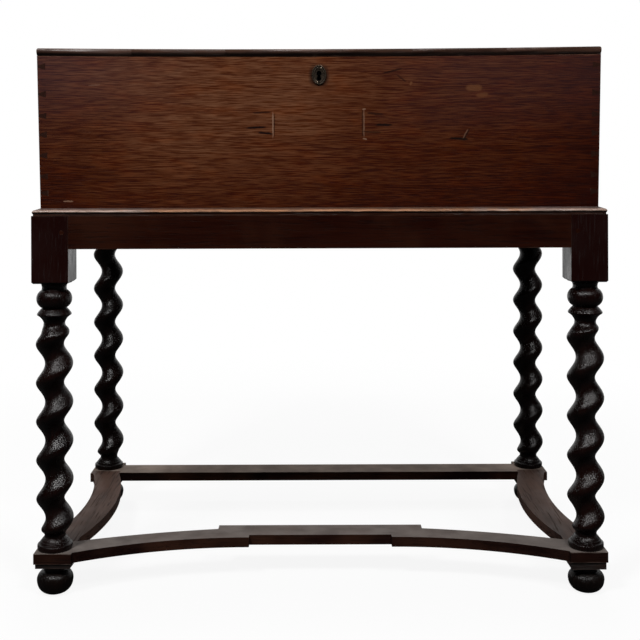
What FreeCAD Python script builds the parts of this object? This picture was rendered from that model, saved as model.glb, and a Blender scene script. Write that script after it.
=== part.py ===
import FreeCAD, Part
import math
import os

# Bible box on a joined stand: a dovetailed oak chest with a bowed, hinged lid and a box lock, which
# sits loose inside the moulding of a stand with barley-twist legs, shaped stretchers and bun feet.
# Millimetres. Origin: middle of the footprint on the floor, +X right, -Y front, +Z up.

Vector = FreeCAD.Vector

# Clearances and the overrun of every cut
glue_gap = 0.05
running_gap = 0.3
pin_gap = 0.05
overrun = 5.0

# The stand as a whole
stand_width = 780.0
stand_depth = 430.0
frame_top = 517.5

# Posts: the square upper ends of the legs
post_side = 50.0
post_drop_front = 92.0
post_drop_back = 47.0
post_edge = 2.0

# Rails between the posts, with their tenons and pegs
rail_height = 45.0
rail_thickness = 22.0
tenon_length = 24.0
tenon_thickness = 8.0
tenon_shoulder = 5.0
peg_radius = 3.0
peg_length = 20.0
peg_inset = 9.0

# Moulding strips round the box, mitred at the corners
moulding_width = 10.0
moulding_height = 10.0

# Turned parts of the legs
turning_radius = 24.0
top_turning_height = 57.5
back_neck_height = 13.5
base_turning_height = 19.5

# Barley twist: a round section whose centre runs round the leg's axis
twist_swell_reach = 10.0
twist_fade = 18.0
twist_end_step = 3.0
twist_outer_radius = 25.0
twist_radius_front = 18.9
twist_radius_back_left = 18.2
twist_radius_back_right = 19.0
twist_pitch_front_left = 53.0
twist_pitch_front_right = 54.4
twist_pitch_back_left = 58.5
twist_pitch_back_right = 54.4
twist_ridge_front_left = 285.6
twist_ridge_front_right = 294.8
twist_ridge_back_left = 252.5
twist_ridge_back_right = 240.9
sections_per_turn = 8

# Flat stretchers and the squares where they meet under the legs
stretcher_top = 60.0
stretcher_thickness = 14.0
corner_inset = 1.0
corner_step = 6.0
front_sweep_depth = 62.0
front_sweep_sag = 14.5
front_stretcher_width = 34.5
back_sweep_sag = 5.1
tablet_half_front = 101.0
tablet_half_back = 147.0
tablet_front_step = 9.4
tablet_back_step = 15.0
side_edge_inset_middle = 28.0
side_edge_inset_end = 6.0
side_bow_setback = 15.0
back_stretcher_setback = 15.0
back_stretcher_width = 45.0
lap_shoulder = 8.0

# Pads and bun feet under the corners
pad_thickness = 6.5
right_pad_extra = 3.5
pad_inset = 2.0
pad_slant = 5.0
foot_radius = 24.2
foot_flat_radius = 9.5
foot_neck_radius = 15.2
foot_widest_height = 15.5
foot_ball_top = 31.0
foot_collar_radius = 17.5
foot_swell = 7.2
foot_under_swell = 3.8
dowel_radius = 8.0
dowel_length = 36.0

# Box boards
box_fit = 0.5
box_height = 215.0
box_flare = 4.5
board_thickness = 16.0
end_thickness = 11.0
bottom_thickness = 9.0
rebate_depth = 6.0
top_bow = 2.5
pin_outer_width = 2.6
pin_inner_width = 9.0
nail_radius = 1.1
nail_length = 26.0
nail_end_inset = 59.5
nail_count = 5

# Lid
lid_thickness = 10.0
lid_overhang = 3.2
lid_undercut = 2.0
lid_nose_swell = 1.9
lid_end_round = 2.5

# Hinges
hinge_place = 250.0
hinge_length = 52.0
hinge_leaf_thickness = 1.6
hinge_leaf_width = 11.5
hinge_inset = 2.0
knuckle_radius = 3.6
hinge_pin_radius = 1.5
knuckle_count = 5
hinge_stop_degrees = 105.0
hinge_screw_radius = 1.2
hinge_screw_head = 2.5
hinge_screw_sink = 1.3
hinge_screw_length = 8.0
hinge_screw_spacing = 17.0
hinge_screw_setback = 7.4

# Lock, let into the inside of the front board
keyhole_below_top = 22.7
keyhole_radius = 2.9
keyhole_waist = 4.2
keyhole_drop = 7.2
escutcheon_width = 19.8
escutcheon_height = 26.3
escutcheon_thickness = 1.2
escutcheon_rim = 1.6
escutcheon_rim_rise = 0.7
escutcheon_drop = 2.0
escutcheon_pin_radius = 0.9
escutcheon_pin_inset = 3.6
escutcheon_pin_length = 6.0
lock_half_width = 32.0
lock_height = 46.0
lock_plate_thickness = 2.0
lock_depth = 10.5
lock_plate_margin = 6.0
cap_wall = 1.2
cap_drop = 38.0
bolt_home_gap = 5.7
bolt_height = 6.0
bolt_thickness = 3.0
bolt_drop = 7.0
key_pin_radius = 1.2
link_thickness = 3.0
link_width = 6.4
link_length = 16.0
link_slot_gap = 0.7
link_plate_half = 20.0
link_plate_thickness = 1.5
link_plate_width = 12.0
lock_screw_radius = 1.0
lock_screw_head = 2.2
lock_screw_length = 6.0
lock_screw_inset = 4.0

# Outlines as shares: (across, up, swell) of the sizes named where each is used
moulding_profile_shares = (
    (1.0, 0.0, 0.0), (1.0, 1.0, 0.0), (0.30, 0.76, 0.0), (0.20, 0.24, 0.17), (0.20, 0.0, 0.0),
)
top_turning_shares = (
    (0.608, 0.0, 0.0), (0.600, 0.043, 0.0), (0.942, 0.219, -0.052), (0.955, 0.261, 0.02),
    (0.683, 0.393, 0.015), (0.721, 0.817, 0.302), (0.708, 0.922, -0.02), (0.90, 0.985, -0.05),
    (1.0, 1.0, 0.0),
)
back_neck_shares = ((0.69, 0.0, 0.0), (0.72, 0.55, -0.03), (1.0, 1.0, -0.06))
base_turning_shares = (
    (0.95, 0.0, 0.0), (0.985, 0.277, 0.02), (0.94, 0.40, 0.02), (0.84, 0.47, -0.01),
    (0.78, 0.60, 0.03), (0.60, 0.87, 0.02), (0.59, 1.0, 0.0),
)
pin_place_shares = (0.143, 0.249, 0.381, 0.512, 0.631, 0.769, 0.944)

# Sizes that follow from those above
half_width = stand_width / 2
half_depth = stand_depth / 2
leg_x = half_width - post_side / 2
leg_y = half_depth - post_side / 2
post_inner_x = half_width - post_side
post_inner_y = half_depth - post_side
rail_bottom = frame_top - rail_height
rail_middle = frame_top - rail_height / 2
stretcher_bottom = stretcher_top - stretcher_thickness
pad_bottom = stretcher_bottom - pad_thickness
corner_x = half_width - corner_inset
corner_y = half_depth - corner_inset
side_edge_middle = half_width - side_edge_inset_middle
side_edge_end = half_width - side_edge_inset_end
side_bow_reach = post_inner_y - side_bow_setback
side_stretcher_width = side_edge_end - post_inner_x
base_top = stretcher_top + base_turning_height
twist_foot_radius = base_turning_shares[-1][0] * turning_radius
box_half_width = half_width - moulding_width - box_fit
box_half_depth = half_depth - moulding_width - box_fit
box_top_middle = frame_top + box_height
box_top_end = box_top_middle + top_bow
keyhole_height = box_top_middle - keyhole_below_top
inside_half_depth = box_half_depth - board_thickness
cap_half_width = lock_half_width - lock_plate_margin
bolt_end_x = -link_thickness / 2 - running_gap * 2
bolt_length = cap_half_width - cap_wall - bolt_home_gap + bolt_end_x
lid_half_width = box_half_width + box_flare
lid_bottom = box_top_middle + running_gap
bow_radius = (lid_half_width ** 2 + top_bow ** 2) / (2 * top_bow)
hinge_y = box_half_depth - hinge_inset
hinge_z = box_top_end + running_gap / 2
X_AXIS = Vector(1, 0, 0)
Y_AXIS = Vector(0, 1, 0)
Z_AXIS = Vector(0, 0, 1)


def block(low, high):
    """A box between two opposite corners, each (x, y, z)."""
    sides = [b - a for a, b in zip(low, high)]
    return Part.makeBox(sides[0], sides[1], sides[2], Vector(*low))


def rod(radius, start, end):
    """A round bar from one point to another."""
    run = Vector(*end) - Vector(*start)
    return Part.makeCylinder(radius, run.Length, Vector(*start), run)


def swollen_edges(points, place):
    """Edges through (a, b, swell) points; a swell bows the edge that ends there to the right of its run."""
    edges = []
    for (a0, b0, _), (a1, b1, swell) in zip(points, points[1:]):
        if swell == 0:
            edges.append(Part.makeLine(place(a0, b0), place(a1, b1)))
            continue
        chord = math.hypot(a1 - a0, b1 - b0)
        middle = place((a0 + a1) / 2 + swell * (b1 - b0) / chord, (b0 + b1) / 2 - swell * (a1 - a0) / chord)
        edges.append(Part.Arc(place(a0, b0), middle, place(a1, b1)).toShape())
    return edges


def closed_face(points, place):
    """A face inside the closed outline through (a, b, swell) points."""
    return Part.Face(Part.Wire(swollen_edges(list(points) + [points[0]], place)))


def turned(shares, radius, low, high):
    """A solid turned about the Z axis from profile shares of a radius and of the height from low to high."""
    rise = high - low
    points = [(r * radius, low + z * rise, s * radius) for r, z, s in shares]
    outline = [(0, low, 0)] + [(points[0][0], points[0][1], 0)] + points[1:] + [(0, high, 0)]
    return closed_face(outline, lambda r, z: Vector(r, 0, z)).revolve(Vector(0, 0, 0), Z_AXIS, 360)


def mirrored_x(shape):
    """The same shape on the other side of the middle, left for right."""
    return shape.mirror(Vector(0, 0, 0), X_AXIS)


def mirrored_y(shape):
    """The same shape at the other side of the middle, front for back."""
    return shape.mirror(Vector(0, 0, 0), Y_AXIS)


def save(name, shape):
    """Writes one sub-part."""
    shape.exportStep(os.path.join("parts", name + ".step"))


def fade(height, low, high, reach):
    """Nought at the ends of the twist, one within it, with a smooth rise over a reach between."""
    near = min(height - low, high - height, reach) / reach
    return near * near * (3 - 2 * near)


def twist(low, high, pitch, ridge, radius, top_radius):
    """A single-start right-hand barley twist about the Z axis that runs out at both ends."""
    swing = twist_outer_radius - radius
    count = round((high - low) / pitch * sections_per_turn)
    heights = [low + (high - low) * i / count for i in range(count + 1)]
    heights += [low + twist_end_step, high - twist_end_step]
    rings = []
    for z in sorted(heights):
        reach = swing * fade(z, low, high, twist_fade)
        angle = math.pi + 2 * math.pi * (z - ridge) / pitch
        centre = Vector(reach * math.cos(angle), reach * math.sin(angle), z)
        end_radius = top_radius if z > (low + high) / 2 else twist_foot_radius
        size = end_radius + (radius - end_radius) * fade(z, low, high, twist_swell_reach)
        rings.append(Part.Wire(Part.Circle(centre, Z_AXIS, size).toShape()))
    return Part.makeLoft(rings, True, False)


def front_tenon_box(gap):
    """The tenon at the right end of the front rail, grown by a gap."""
    middle = -half_depth + rail_thickness / 2
    half = tenon_thickness / 2 + gap
    return block(
        (post_inner_x - gap, middle - half, rail_bottom + tenon_shoulder - gap),
        (post_inner_x + tenon_length + gap, middle + half, frame_top - tenon_shoulder + gap),
    )


def side_tenon_box(gap):
    """The tenon at the front end of the right rail, grown by a gap."""
    middle = half_width - rail_thickness / 2
    half = tenon_thickness / 2 + gap
    return block(
        (middle - half, -post_inner_y - tenon_length - gap, rail_bottom + tenon_shoulder - gap),
        (middle + half, -post_inner_y + gap, frame_top - tenon_shoulder + gap),
    )


def front_peg(radius):
    """The peg through the front rail's right tenon."""
    x = post_inner_x + peg_inset
    return rod(radius, (x, -half_depth, rail_middle), (x, -half_depth + peg_length, rail_middle))


def side_peg(radius):
    """The peg through the right rail's front tenon."""
    y = -post_inner_y - peg_inset
    return rod(radius, (half_width, y, rail_middle), (half_width - peg_length, y, rail_middle))


def corner_dowel(gap):
    """The dowel of the front right foot, grown by a gap."""
    top = pad_bottom + dowel_length + gap
    return rod(dowel_radius + gap, (leg_x, -leg_y, pad_bottom - right_pad_extra), (leg_x, -leg_y, top))


def to_corner(shape, left, back):
    """Moves a front right corner piece to another corner by mirroring."""
    if left:
        shape = mirrored_x(shape)
    if back:
        shape = mirrored_y(shape)
    return shape


def leg(left, back, pitch, ridge, radius):
    """A leg from the stretcher up: turned base, twist, turned top and the square post with its mortises."""
    drop = post_drop_back if back else post_drop_front
    shares = back_neck_shares if back else top_turning_shares
    post_bottom = frame_top - drop
    twist_top = post_bottom - (back_neck_height if back else top_turning_height)
    half = post_side / 2
    post = block((-half, -half, post_bottom), (half, half, frame_top))
    low_edges = [e for e in post.Edges if e.BoundBox.ZMax < post_bottom + post_edge]
    post = post.makeChamfer(post_edge, low_edges)
    body = post.fuse([
        turned(shares, turning_radius, twist_top, post_bottom),
        twist(base_top, twist_top, pitch, ridge, radius, shares[0][0] * turning_radius),
        turned(base_turning_shares, turning_radius, stretcher_top, base_top),
    ])
    body.translate(Vector(-leg_x if left else leg_x, leg_y if back else -leg_y, 0))
    holes = [front_tenon_box(glue_gap), side_tenon_box(glue_gap), front_peg(peg_radius + glue_gap)]
    holes += [side_peg(peg_radius + glue_gap), corner_dowel(glue_gap)]
    return body.cut([to_corner(h, left, back) for h in holes])


def front_rail():
    """The front rail with its two tenons."""
    inner_face = -half_depth + rail_thickness
    board = block((-post_inner_x, -half_depth, rail_bottom), (post_inner_x, inner_face, frame_top))
    tenon = front_tenon_box(0)
    peg = front_peg(peg_radius + glue_gap)
    return board.fuse([tenon, mirrored_x(tenon)]).removeSplitter().cut([peg, mirrored_x(peg)])


def right_rail():
    """The right rail with its two tenons."""
    inner_face = half_width - rail_thickness
    board = block((inner_face, -post_inner_y, rail_bottom), (half_width, post_inner_y, frame_top))
    tenon = side_tenon_box(0)
    peg = side_peg(peg_radius + glue_gap)
    return board.fuse([tenon, mirrored_y(tenon)]).removeSplitter().cut([peg, mirrored_y(peg)])


def rail_pegs():
    """All the pegs that pin the tenons."""
    pegs = []
    for left in (False, True):
        for back in (False, True):
            pegs.append(to_corner(front_peg(peg_radius), left, back))
            pegs.append(to_corner(side_peg(peg_radius), left, back))
    return Part.makeCompound(pegs)


def moulding_strip(half_length, half_span):
    """A strip along the front edge of a frame, quirked and nosed on its outer edge and mitred at its ends."""
    points = [
        (across * moulding_width, up * moulding_height, swell * moulding_width)
        for across, up, swell in moulding_profile_shares
    ]
    face = closed_face(points, lambda a, b: Vector(-half_length, -half_span + a, frame_top + b))
    strip = face.extrude(Vector(2 * half_length, 0, 0))
    corners = [
        Vector(-half_length, -half_span, frame_top),
        Vector(half_length, -half_span, frame_top),
        Vector(half_length - moulding_width, -half_span + moulding_width, frame_top),
        Vector(-half_length + moulding_width, -half_span + moulding_width, frame_top),
    ]
    mitre = Part.Face(Part.makePolygon(corners + [corners[0]])).extrude(Vector(0, 0, moulding_height))
    return strip.common(mitre)


def side_moulding():
    """The strip along the right edge of the frame."""
    strip = moulding_strip(half_depth, half_width)
    strip.rotate(Vector(0, 0, 0), Z_AXIS, 90)
    return strip


def board_from_half(edges, mirror):
    """A flat stretcher board from the edges of half its outline."""
    outline = edges + [mirror(e) for e in edges]
    face = Part.Face(Part.Wire(Part.__sortEdges__(outline)))
    return face.extrude(Vector(0, 0, stretcher_thickness))


def at_stretcher(a, b):
    """A point of a stretcher's outline."""
    return Vector(a, b, stretcher_bottom)


def front_stretcher():
    """The front stretcher: swept halves, a stepped tablet in the middle and lapped corner squares."""
    front = -half_depth
    sweep_end = post_inner_x - pad_inset
    back_edge = front + front_sweep_depth + front_stretcher_width
    half = [
        (0, front + front_sweep_depth + tablet_front_step, 0),
        (tablet_half_front, front + front_sweep_depth + tablet_front_step, 0),
        (tablet_half_front, front + front_sweep_depth, 0),
        (sweep_end, front + corner_step, -front_sweep_sag),
        (sweep_end, -corner_y, 0),
        (corner_x, -corner_y, 0),
        (corner_x, -post_inner_y, 0),
        (post_inner_x, -post_inner_y, 0),
        (tablet_half_back, back_edge, back_sweep_sag),
        (tablet_half_back, back_edge + tablet_back_step, 0),
        (0, back_edge + tablet_back_step, 0),
    ]
    board = board_from_half(swollen_edges(half, at_stretcher), mirrored_x)
    cuts = [corner_dowel(glue_gap), lap_tongue(glue_gap)]
    return board.cut(cuts + [mirrored_x(c) for c in cuts])


def back_stretcher():
    """The straight back stretcher with lapped corner squares."""
    outer = half_depth - back_stretcher_setback
    half = [
        (0, outer - back_stretcher_width, 0),
        (post_inner_x, outer - back_stretcher_width, 0),
        (post_inner_x, post_inner_y, 0),
        (corner_x, post_inner_y, 0),
        (corner_x, corner_y, 0),
        (post_inner_x, corner_y, 0),
        (post_inner_x, outer, 0),
        (0, outer, 0),
    ]
    board = board_from_half(swollen_edges(half, at_stretcher), mirrored_x)
    cuts = [mirrored_y(corner_dowel(glue_gap)), mirrored_y(lap_tongue(glue_gap))]
    return board.cut(cuts + [mirrored_x(c) for c in cuts])


def lap_tongue(gap):
    """The tongue of the right stretcher that is housed in the underside of the front corner square."""
    lap_top = stretcher_bottom + stretcher_thickness / 2
    return block(
        (post_inner_x + lap_shoulder - gap, -half_depth + lap_shoulder - gap, stretcher_bottom - gap),
        (corner_x - lap_shoulder + gap, -post_inner_y + gap, lap_top + gap),
    )


def right_stretcher():
    """The right stretcher, bowed in towards the middle, with a tongue at each end."""
    bow = side_edge_end - side_edge_middle
    half = [
        (side_edge_middle, 0, 0),
        (side_edge_end, side_bow_reach, -bow / 4),
        (corner_x, side_bow_reach, 0),
        (corner_x, post_inner_y, 0),
        (post_inner_x, post_inner_y, 0),
        (post_inner_x, side_bow_reach, 0),
        (side_edge_middle - side_stretcher_width, 0, bow / 4),
    ]
    board = board_from_half(swollen_edges(half, at_stretcher), mirrored_y)
    tongue = lap_tongue(0)
    dowel = corner_dowel(glue_gap)
    return board.fuse([tongue, mirrored_y(tongue)]).removeSplitter().cut([dowel, mirrored_y(dowel)])


def pad(low):
    """The pad under the front right corner down to a height, with its inner ends slanted."""
    outer_x = corner_x - pad_inset
    outer_y = -corner_y + pad_inset
    wires = []
    for z, slant in ((low, pad_slant), (stretcher_bottom, 0)):
        inner_x = post_inner_x - pad_slant + slant
        inner_y = -post_inner_y + pad_slant - slant
        corners = [(inner_x, outer_y), (outer_x, outer_y), (outer_x, inner_y), (inner_x, inner_y)]
        corners.append(corners[0])
        wires.append(Part.makePolygon([Vector(x, y, z) for x, y in corners]))
    return Part.makeLoft(wires, True, True).cut(corner_dowel(glue_gap))


def foot(top):
    """The front right bun foot up to the pad above it, turned in one piece with its dowel."""
    squat = top / pad_bottom
    outline = [
        (0, 0, 0),
        (foot_flat_radius, 0, 0),
        (foot_radius, foot_widest_height * squat, foot_under_swell),
        (foot_neck_radius, foot_ball_top * squat, foot_swell / 2),
        (foot_collar_radius, top, -foot_swell / 4),
        (dowel_radius, top, 0),
        (dowel_radius, pad_bottom + dowel_length, 0),
        (0, pad_bottom + dowel_length, 0),
    ]
    solid = closed_face(outline, lambda r, z: Vector(r, 0, z)).revolve(Vector(0, 0, 0), Z_AXIS, 360)
    solid.translate(Vector(leg_x, -leg_y, 0))
    return solid


def edge_x(z, inset):
    """How far from the middle the leaning end of the box is at a height, less an inset."""
    return box_half_width + box_flare * (z - frame_top) / box_height - inset


def at_front(x, z):
    """A point of an outline on the box's front face."""
    return Vector(x, -box_half_depth, z)


def board_outline(inset):
    """The outline of the front board, narrower at the bottom and with a bowed top edge, less an inset."""
    left_top = (-edge_x(box_top_end, inset), box_top_end, 0)
    return [
        left_top,
        (-edge_x(frame_top, inset), frame_top, 0),
        (edge_x(frame_top, inset), frame_top, 0),
        (edge_x(box_top_end, inset), box_top_end, 0),
    ]


def front_blank():
    """The front board before its joints are cut."""
    outline = board_outline(0)
    edges = swollen_edges(outline, at_front)
    edges += swollen_edges([outline[-1], outline[0][:2] + (-top_bow,)], at_front)
    return Part.Face(Part.Wire(edges)).extrude(Vector(0, board_thickness, 0))


def dovetail_pins():
    """The pins of the right end board, which show on the front as thin wedges."""
    pins = []
    for share in pin_place_shares:
        z = frame_top + share * box_height
        outer = edge_x(z, 0)
        inner = edge_x(z, end_thickness)
        corners = [
            at_front(outer, z - pin_outer_width / 2),
            at_front(outer, z + pin_outer_width / 2),
            at_front(inner, z + pin_inner_width / 2),
            at_front(inner, z - pin_inner_width / 2),
        ]
        outline = Part.Face(Part.makePolygon(corners + [corners[0]]))
        pins.append(outline.extrude(Vector(0, board_thickness, 0)))
    return pins


def bottom_board(gap):
    """The bottom board, let into rebates all round and grown by a gap."""
    x = box_half_width - end_thickness + rebate_depth + gap
    y = inside_half_depth + rebate_depth + gap
    return block((-x, -y, frame_top - gap), (x, y, frame_top + bottom_thickness + gap))


def bottom_nails(radius):
    """Nails driven up through the bottom board into the front and back boards."""
    nails = []
    y = inside_half_depth + rebate_depth / 2
    reach = box_half_width - nail_end_inset
    for step in range(nail_count):
        x = reach * (2 * step / (nail_count - 1) - 1)
        for side in (-1, 1):
            foot_point = (x, side * y, frame_top)
            nails.append(rod(radius, foot_point, (foot_point[0], foot_point[1], frame_top + nail_length)))
    return nails


def front_board():
    """The front board, with tails at its ends, the rebate, the keyhole and the recess for the lock."""
    pins = dovetail_pins()
    cuts = pins + [mirrored_x(p) for p in pins] + [bottom_board(0)]
    cuts += bottom_nails(nail_radius + glue_gap) + [keyhole(glue_gap), lock_recess()] + pin_rods(glue_gap)
    cuts += lock_screws(glue_gap)
    return front_blank().cut(cuts)


def back_board():
    """The back board, with tails at its ends, the rebate, a bevelled top edge and the hinge recesses."""
    pins = dovetail_pins()
    blank = mirrored_y(front_blank().cut(pins + [mirrored_x(p) for p in pins]))
    cuts = [bottom_board(0), bevel_cut(False)] + bottom_nails(nail_radius + glue_gap)
    cuts += hinge_recesses(False) + hinge_screws(False, glue_gap)
    return blank.cut(cuts)


def right_end():
    """The right end board with its dovetail pins front and back."""
    corners = [
        Vector(edge_x(frame_top, end_thickness), -inside_half_depth, frame_top),
        Vector(edge_x(frame_top, 0), -inside_half_depth, frame_top),
        Vector(edge_x(box_top_end, 0), -inside_half_depth, box_top_end),
        Vector(edge_x(box_top_end, end_thickness), -inside_half_depth, box_top_end),
    ]
    board = Part.Face(Part.makePolygon(corners + [corners[0]])).extrude(Vector(0, 2 * inside_half_depth, 0))
    pins = dovetail_pins()
    cuts = [bottom_board(0)]
    return board.fuse(pins + [mirrored_y(p) for p in pins]).removeSplitter().cut(cuts + [bevel_cut(False)])


def bevel_cut(for_lid):
    """The wedge behind the hinge line: the bevels of lid and box meet there and stop the lid."""
    rise = math.tan(math.radians(hinge_stop_degrees / 2)) * overrun
    apex = (hinge_y, hinge_z)
    upper = (hinge_y + overrun, hinge_z + rise)
    lower = (hinge_y + overrun, hinge_z - rise)
    if for_lid:
        points = [apex, (hinge_y, lower[1]), lower, upper]
    else:
        points = [apex, lower, upper, (hinge_y, upper[1])]
    corners = [Vector(-half_width, y, z) for y, z in points]
    return Part.Face(Part.makePolygon(corners + [corners[0]])).extrude(Vector(stand_width, 0, 0))


def lid_board():
    """The lid: one board bowed up at its ends, with a rounded front edge over a shallow undercut."""
    front = -box_half_depth - lid_overhang
    top = lid_bottom + lid_thickness
    points = [
        (box_half_depth, lid_bottom, 0),
        (box_half_depth, top, 0),
        (front + lid_undercut / 2, top, 0),
        (front + lid_undercut, lid_bottom + lid_undercut, lid_nose_swell),
        (-box_half_depth, lid_bottom, 0),
    ]
    turn = math.degrees(math.asin(lid_half_width / bow_radius))
    axis_point = Vector(0, 0, lid_bottom + bow_radius)
    face = closed_face(points, lambda y, z: Vector(0, y, z))
    face.rotate(axis_point, Y_AXIS, turn)
    board = face.revolve(axis_point, Y_AXIS, -2 * turn)
    top_edges = [e for e in board.Edges if is_lid_end_edge(e)]
    board = board.makeFillet(lid_end_round, top_edges)
    cuts = [bevel_cut(True)] + hinge_recesses(True) + hinge_screws(True, glue_gap) + [link_recess()]
    return board.cut(cuts + link_screws(glue_gap))


def is_lid_end_edge(edge):
    """True for the two long top edges at the ends of the lid."""
    box = edge.BoundBox
    across = box.XLength < overrun and abs(box.Center.x) > lid_half_width - overrun
    return across and box.YLength > box_half_depth and box.ZMin > lid_bottom + lid_thickness / 2


def knuckle_spans():
    """The stretches of a hinge's length that each knuckle takes, from its left end."""
    pitch = hinge_length / knuckle_count
    return [(i * pitch - hinge_length / 2, (i + 1) * pitch - hinge_length / 2) for i in range(knuckle_count)]


def hinge_leaf(for_lid):
    """One leaf of the right hinge: a plate and its share of the knuckles."""
    side = 1 if for_lid else -1
    near = hinge_z + side * running_gap / 2
    far = near + side * hinge_leaf_thickness
    low, high = min(near, far), max(near, far)
    start = hinge_place - hinge_length / 2
    leaf = block((start, hinge_y - hinge_leaf_width, low), (start + hinge_length, hinge_y, high))
    own, other = [], []
    for i, (a, b) in enumerate(knuckle_spans()):
        mine = (i % 2 == 1) == for_lid
        grow = -running_gap / 2 if mine else running_gap / 2
        if 0 < i or not mine:
            a -= grow
        if i < knuckle_count - 1 or not mine:
            b += grow
        radius = knuckle_radius if mine else knuckle_radius + running_gap
        barrel = rod(radius, (hinge_place + a, hinge_y, hinge_z), (hinge_place + b, hinge_y, hinge_z))
        (own if mine else other).append(barrel)
    return leaf.fuse(own).cut(other + [hinge_pin(pin_gap)] + hinge_screws(for_lid, glue_gap))


def hinge_pin(gap):
    """The pin of the right hinge, grown by a gap."""
    left_end = (hinge_place - hinge_length / 2, hinge_y, hinge_z)
    right_end = (hinge_place + hinge_length / 2, hinge_y, hinge_z)
    return rod(hinge_pin_radius + gap, left_end, right_end)


def hinge_recesses(for_lid):
    """The room for both hinges in the lid or in the back board."""
    half = hinge_length / 2 + running_gap
    side = 1 if for_lid else -1
    bed = hinge_z + side * (running_gap / 2 + hinge_leaf_thickness)
    open_side = hinge_z - side * overrun
    low, high = min(bed, open_side), max(bed, open_side)
    plate = block(
        (hinge_place - half, hinge_y - hinge_leaf_width - glue_gap, low),
        (hinge_place + half, hinge_y, high),
    )
    barrel = rod(
        knuckle_radius + running_gap,
        (hinge_place - half, hinge_y, hinge_z),
        (hinge_place + half, hinge_y, hinge_z),
    )
    room = plate.fuse(barrel)
    return [room, mirrored_x(room)]


def countersunk(point, direction, shank, head, sink, length):
    """A countersunk screw with its head's face at a point."""
    base = Vector(*point)
    along = Vector(*direction)
    cone = Part.makeCone(head, shank, sink, base, along)
    return cone.fuse(Part.makeCylinder(shank, length - sink, base + along * sink, along)).removeSplitter()


def hinge_screws(for_lid, gap):
    """The screws of both leaves in the lid or in the back board."""
    side = 1 if for_lid else -1
    leaf_face = hinge_z + side * running_gap / 2
    screws = []
    for step in (-1, 0, 1):
        point = (hinge_place + step * hinge_screw_spacing, hinge_y - hinge_screw_setback, leaf_face)
        screws.append(countersunk(
            point, (0, 0, side), hinge_screw_radius + gap, hinge_screw_head + gap, hinge_screw_sink,
            hinge_screw_length + gap,
        ))
    return screws + [mirrored_x(s) for s in screws]


def keyhole(gap):
    """The keyhole through the front: a round top, a waist and a round foot."""
    front = -box_half_depth - overrun
    back = -inside_half_depth - lock_plate_thickness
    top = rod(keyhole_radius + gap, (0, front, keyhole_height), (0, back, keyhole_height))
    half = keyhole_waist / 2 + gap
    slot = block((-half, front, keyhole_height - keyhole_drop), (half, back, keyhole_height))
    end = rod(half, (0, front, keyhole_height - keyhole_drop), (0, back, keyhole_height - keyhole_drop))
    return top.fuse([slot, end])


def oval_plate(half_w, half_h, front, back):
    """An upright oval plate between two depths."""
    centre = Vector(0, back, keyhole_height - escutcheon_drop)
    ellipse = Part.Ellipse(centre + Vector(0, 0, half_h), centre + Vector(half_w, 0, 0), centre)
    return Part.Face(Part.Wire(ellipse.toShape())).extrude(Vector(0, front - back, 0))


def escutcheon():
    """The oval brass escutcheon with its raised rim and keyhole."""
    face = -box_half_depth
    half_w, half_h = escutcheon_width / 2, escutcheon_height / 2
    rise = escutcheon_thickness + escutcheon_rim_rise
    plate = oval_plate(half_w, half_h, face - rise, face)
    well = oval_plate(
        half_w - escutcheon_rim, half_h - escutcheon_rim, face - rise - overrun, face - escutcheon_thickness
    )
    return plate.cut(well).cut(keyhole(0)).cut(pin_rods(glue_gap))


def pin_rods(gap):
    """The shanks of the two escutcheon pins, grown by a gap."""
    middle = keyhole_height - escutcheon_drop
    reach = escutcheon_height / 2 - escutcheon_pin_inset
    front = -box_half_depth - escutcheon_thickness - gap
    return [
        rod(escutcheon_pin_radius + gap, (0, front, middle + side * reach),
            (0, front + escutcheon_pin_length + 2 * gap, middle + side * reach))
        for side in (-1, 1)
    ]


def escutcheon_pins():
    """The two pins with their domed heads."""
    pins = []
    for shank in pin_rods(0):
        head_z = shank.BoundBox.Center.z
        radius = 2 * escutcheon_pin_radius
        reach = radius + overrun
        dome = Part.makeSphere(radius, Vector(0, -box_half_depth - escutcheon_thickness, head_z))
        room = block(
            (-reach, -box_half_depth - escutcheon_thickness - escutcheon_pin_radius, head_z - reach),
            (reach, -box_half_depth - escutcheon_thickness, head_z + reach),
        )
        pins.append(shank.fuse(dome.common(room)))
    return Part.makeCompound(pins)


def lock_recess():
    """The room cut in the front board for the lock and its selvedge."""
    back = -inside_half_depth
    plate = block(
        (-lock_half_width, back - lock_plate_thickness, box_top_middle - lock_height),
        (lock_half_width, back + overrun, box_top_middle + overrun),
    )
    selvedge = block(
        (-lock_half_width, back - lock_depth, box_top_middle - lock_plate_thickness),
        (lock_half_width, back, box_top_middle + overrun),
    )
    cap = block(
        (-cap_half_width, back - lock_depth, box_top_middle - cap_drop),
        (cap_half_width, back, box_top_middle),
    )
    return plate.fuse([selvedge, cap])


def link_slot_box(gap):
    """The slot in the selvedge that the link drops through."""
    middle = link_middle_y()
    return block(
        (-link_thickness / 2 - gap, middle - link_width / 2 - gap, box_top_middle - cap_drop),
        (link_thickness / 2 + gap, middle + link_width / 2 + gap, box_top_middle + overrun),
    )


def link_middle_y():
    """The middle of the room between the lock's cap and its plate."""
    return -inside_half_depth - (lock_plate_thickness + lock_depth - cap_wall) / 2


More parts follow.
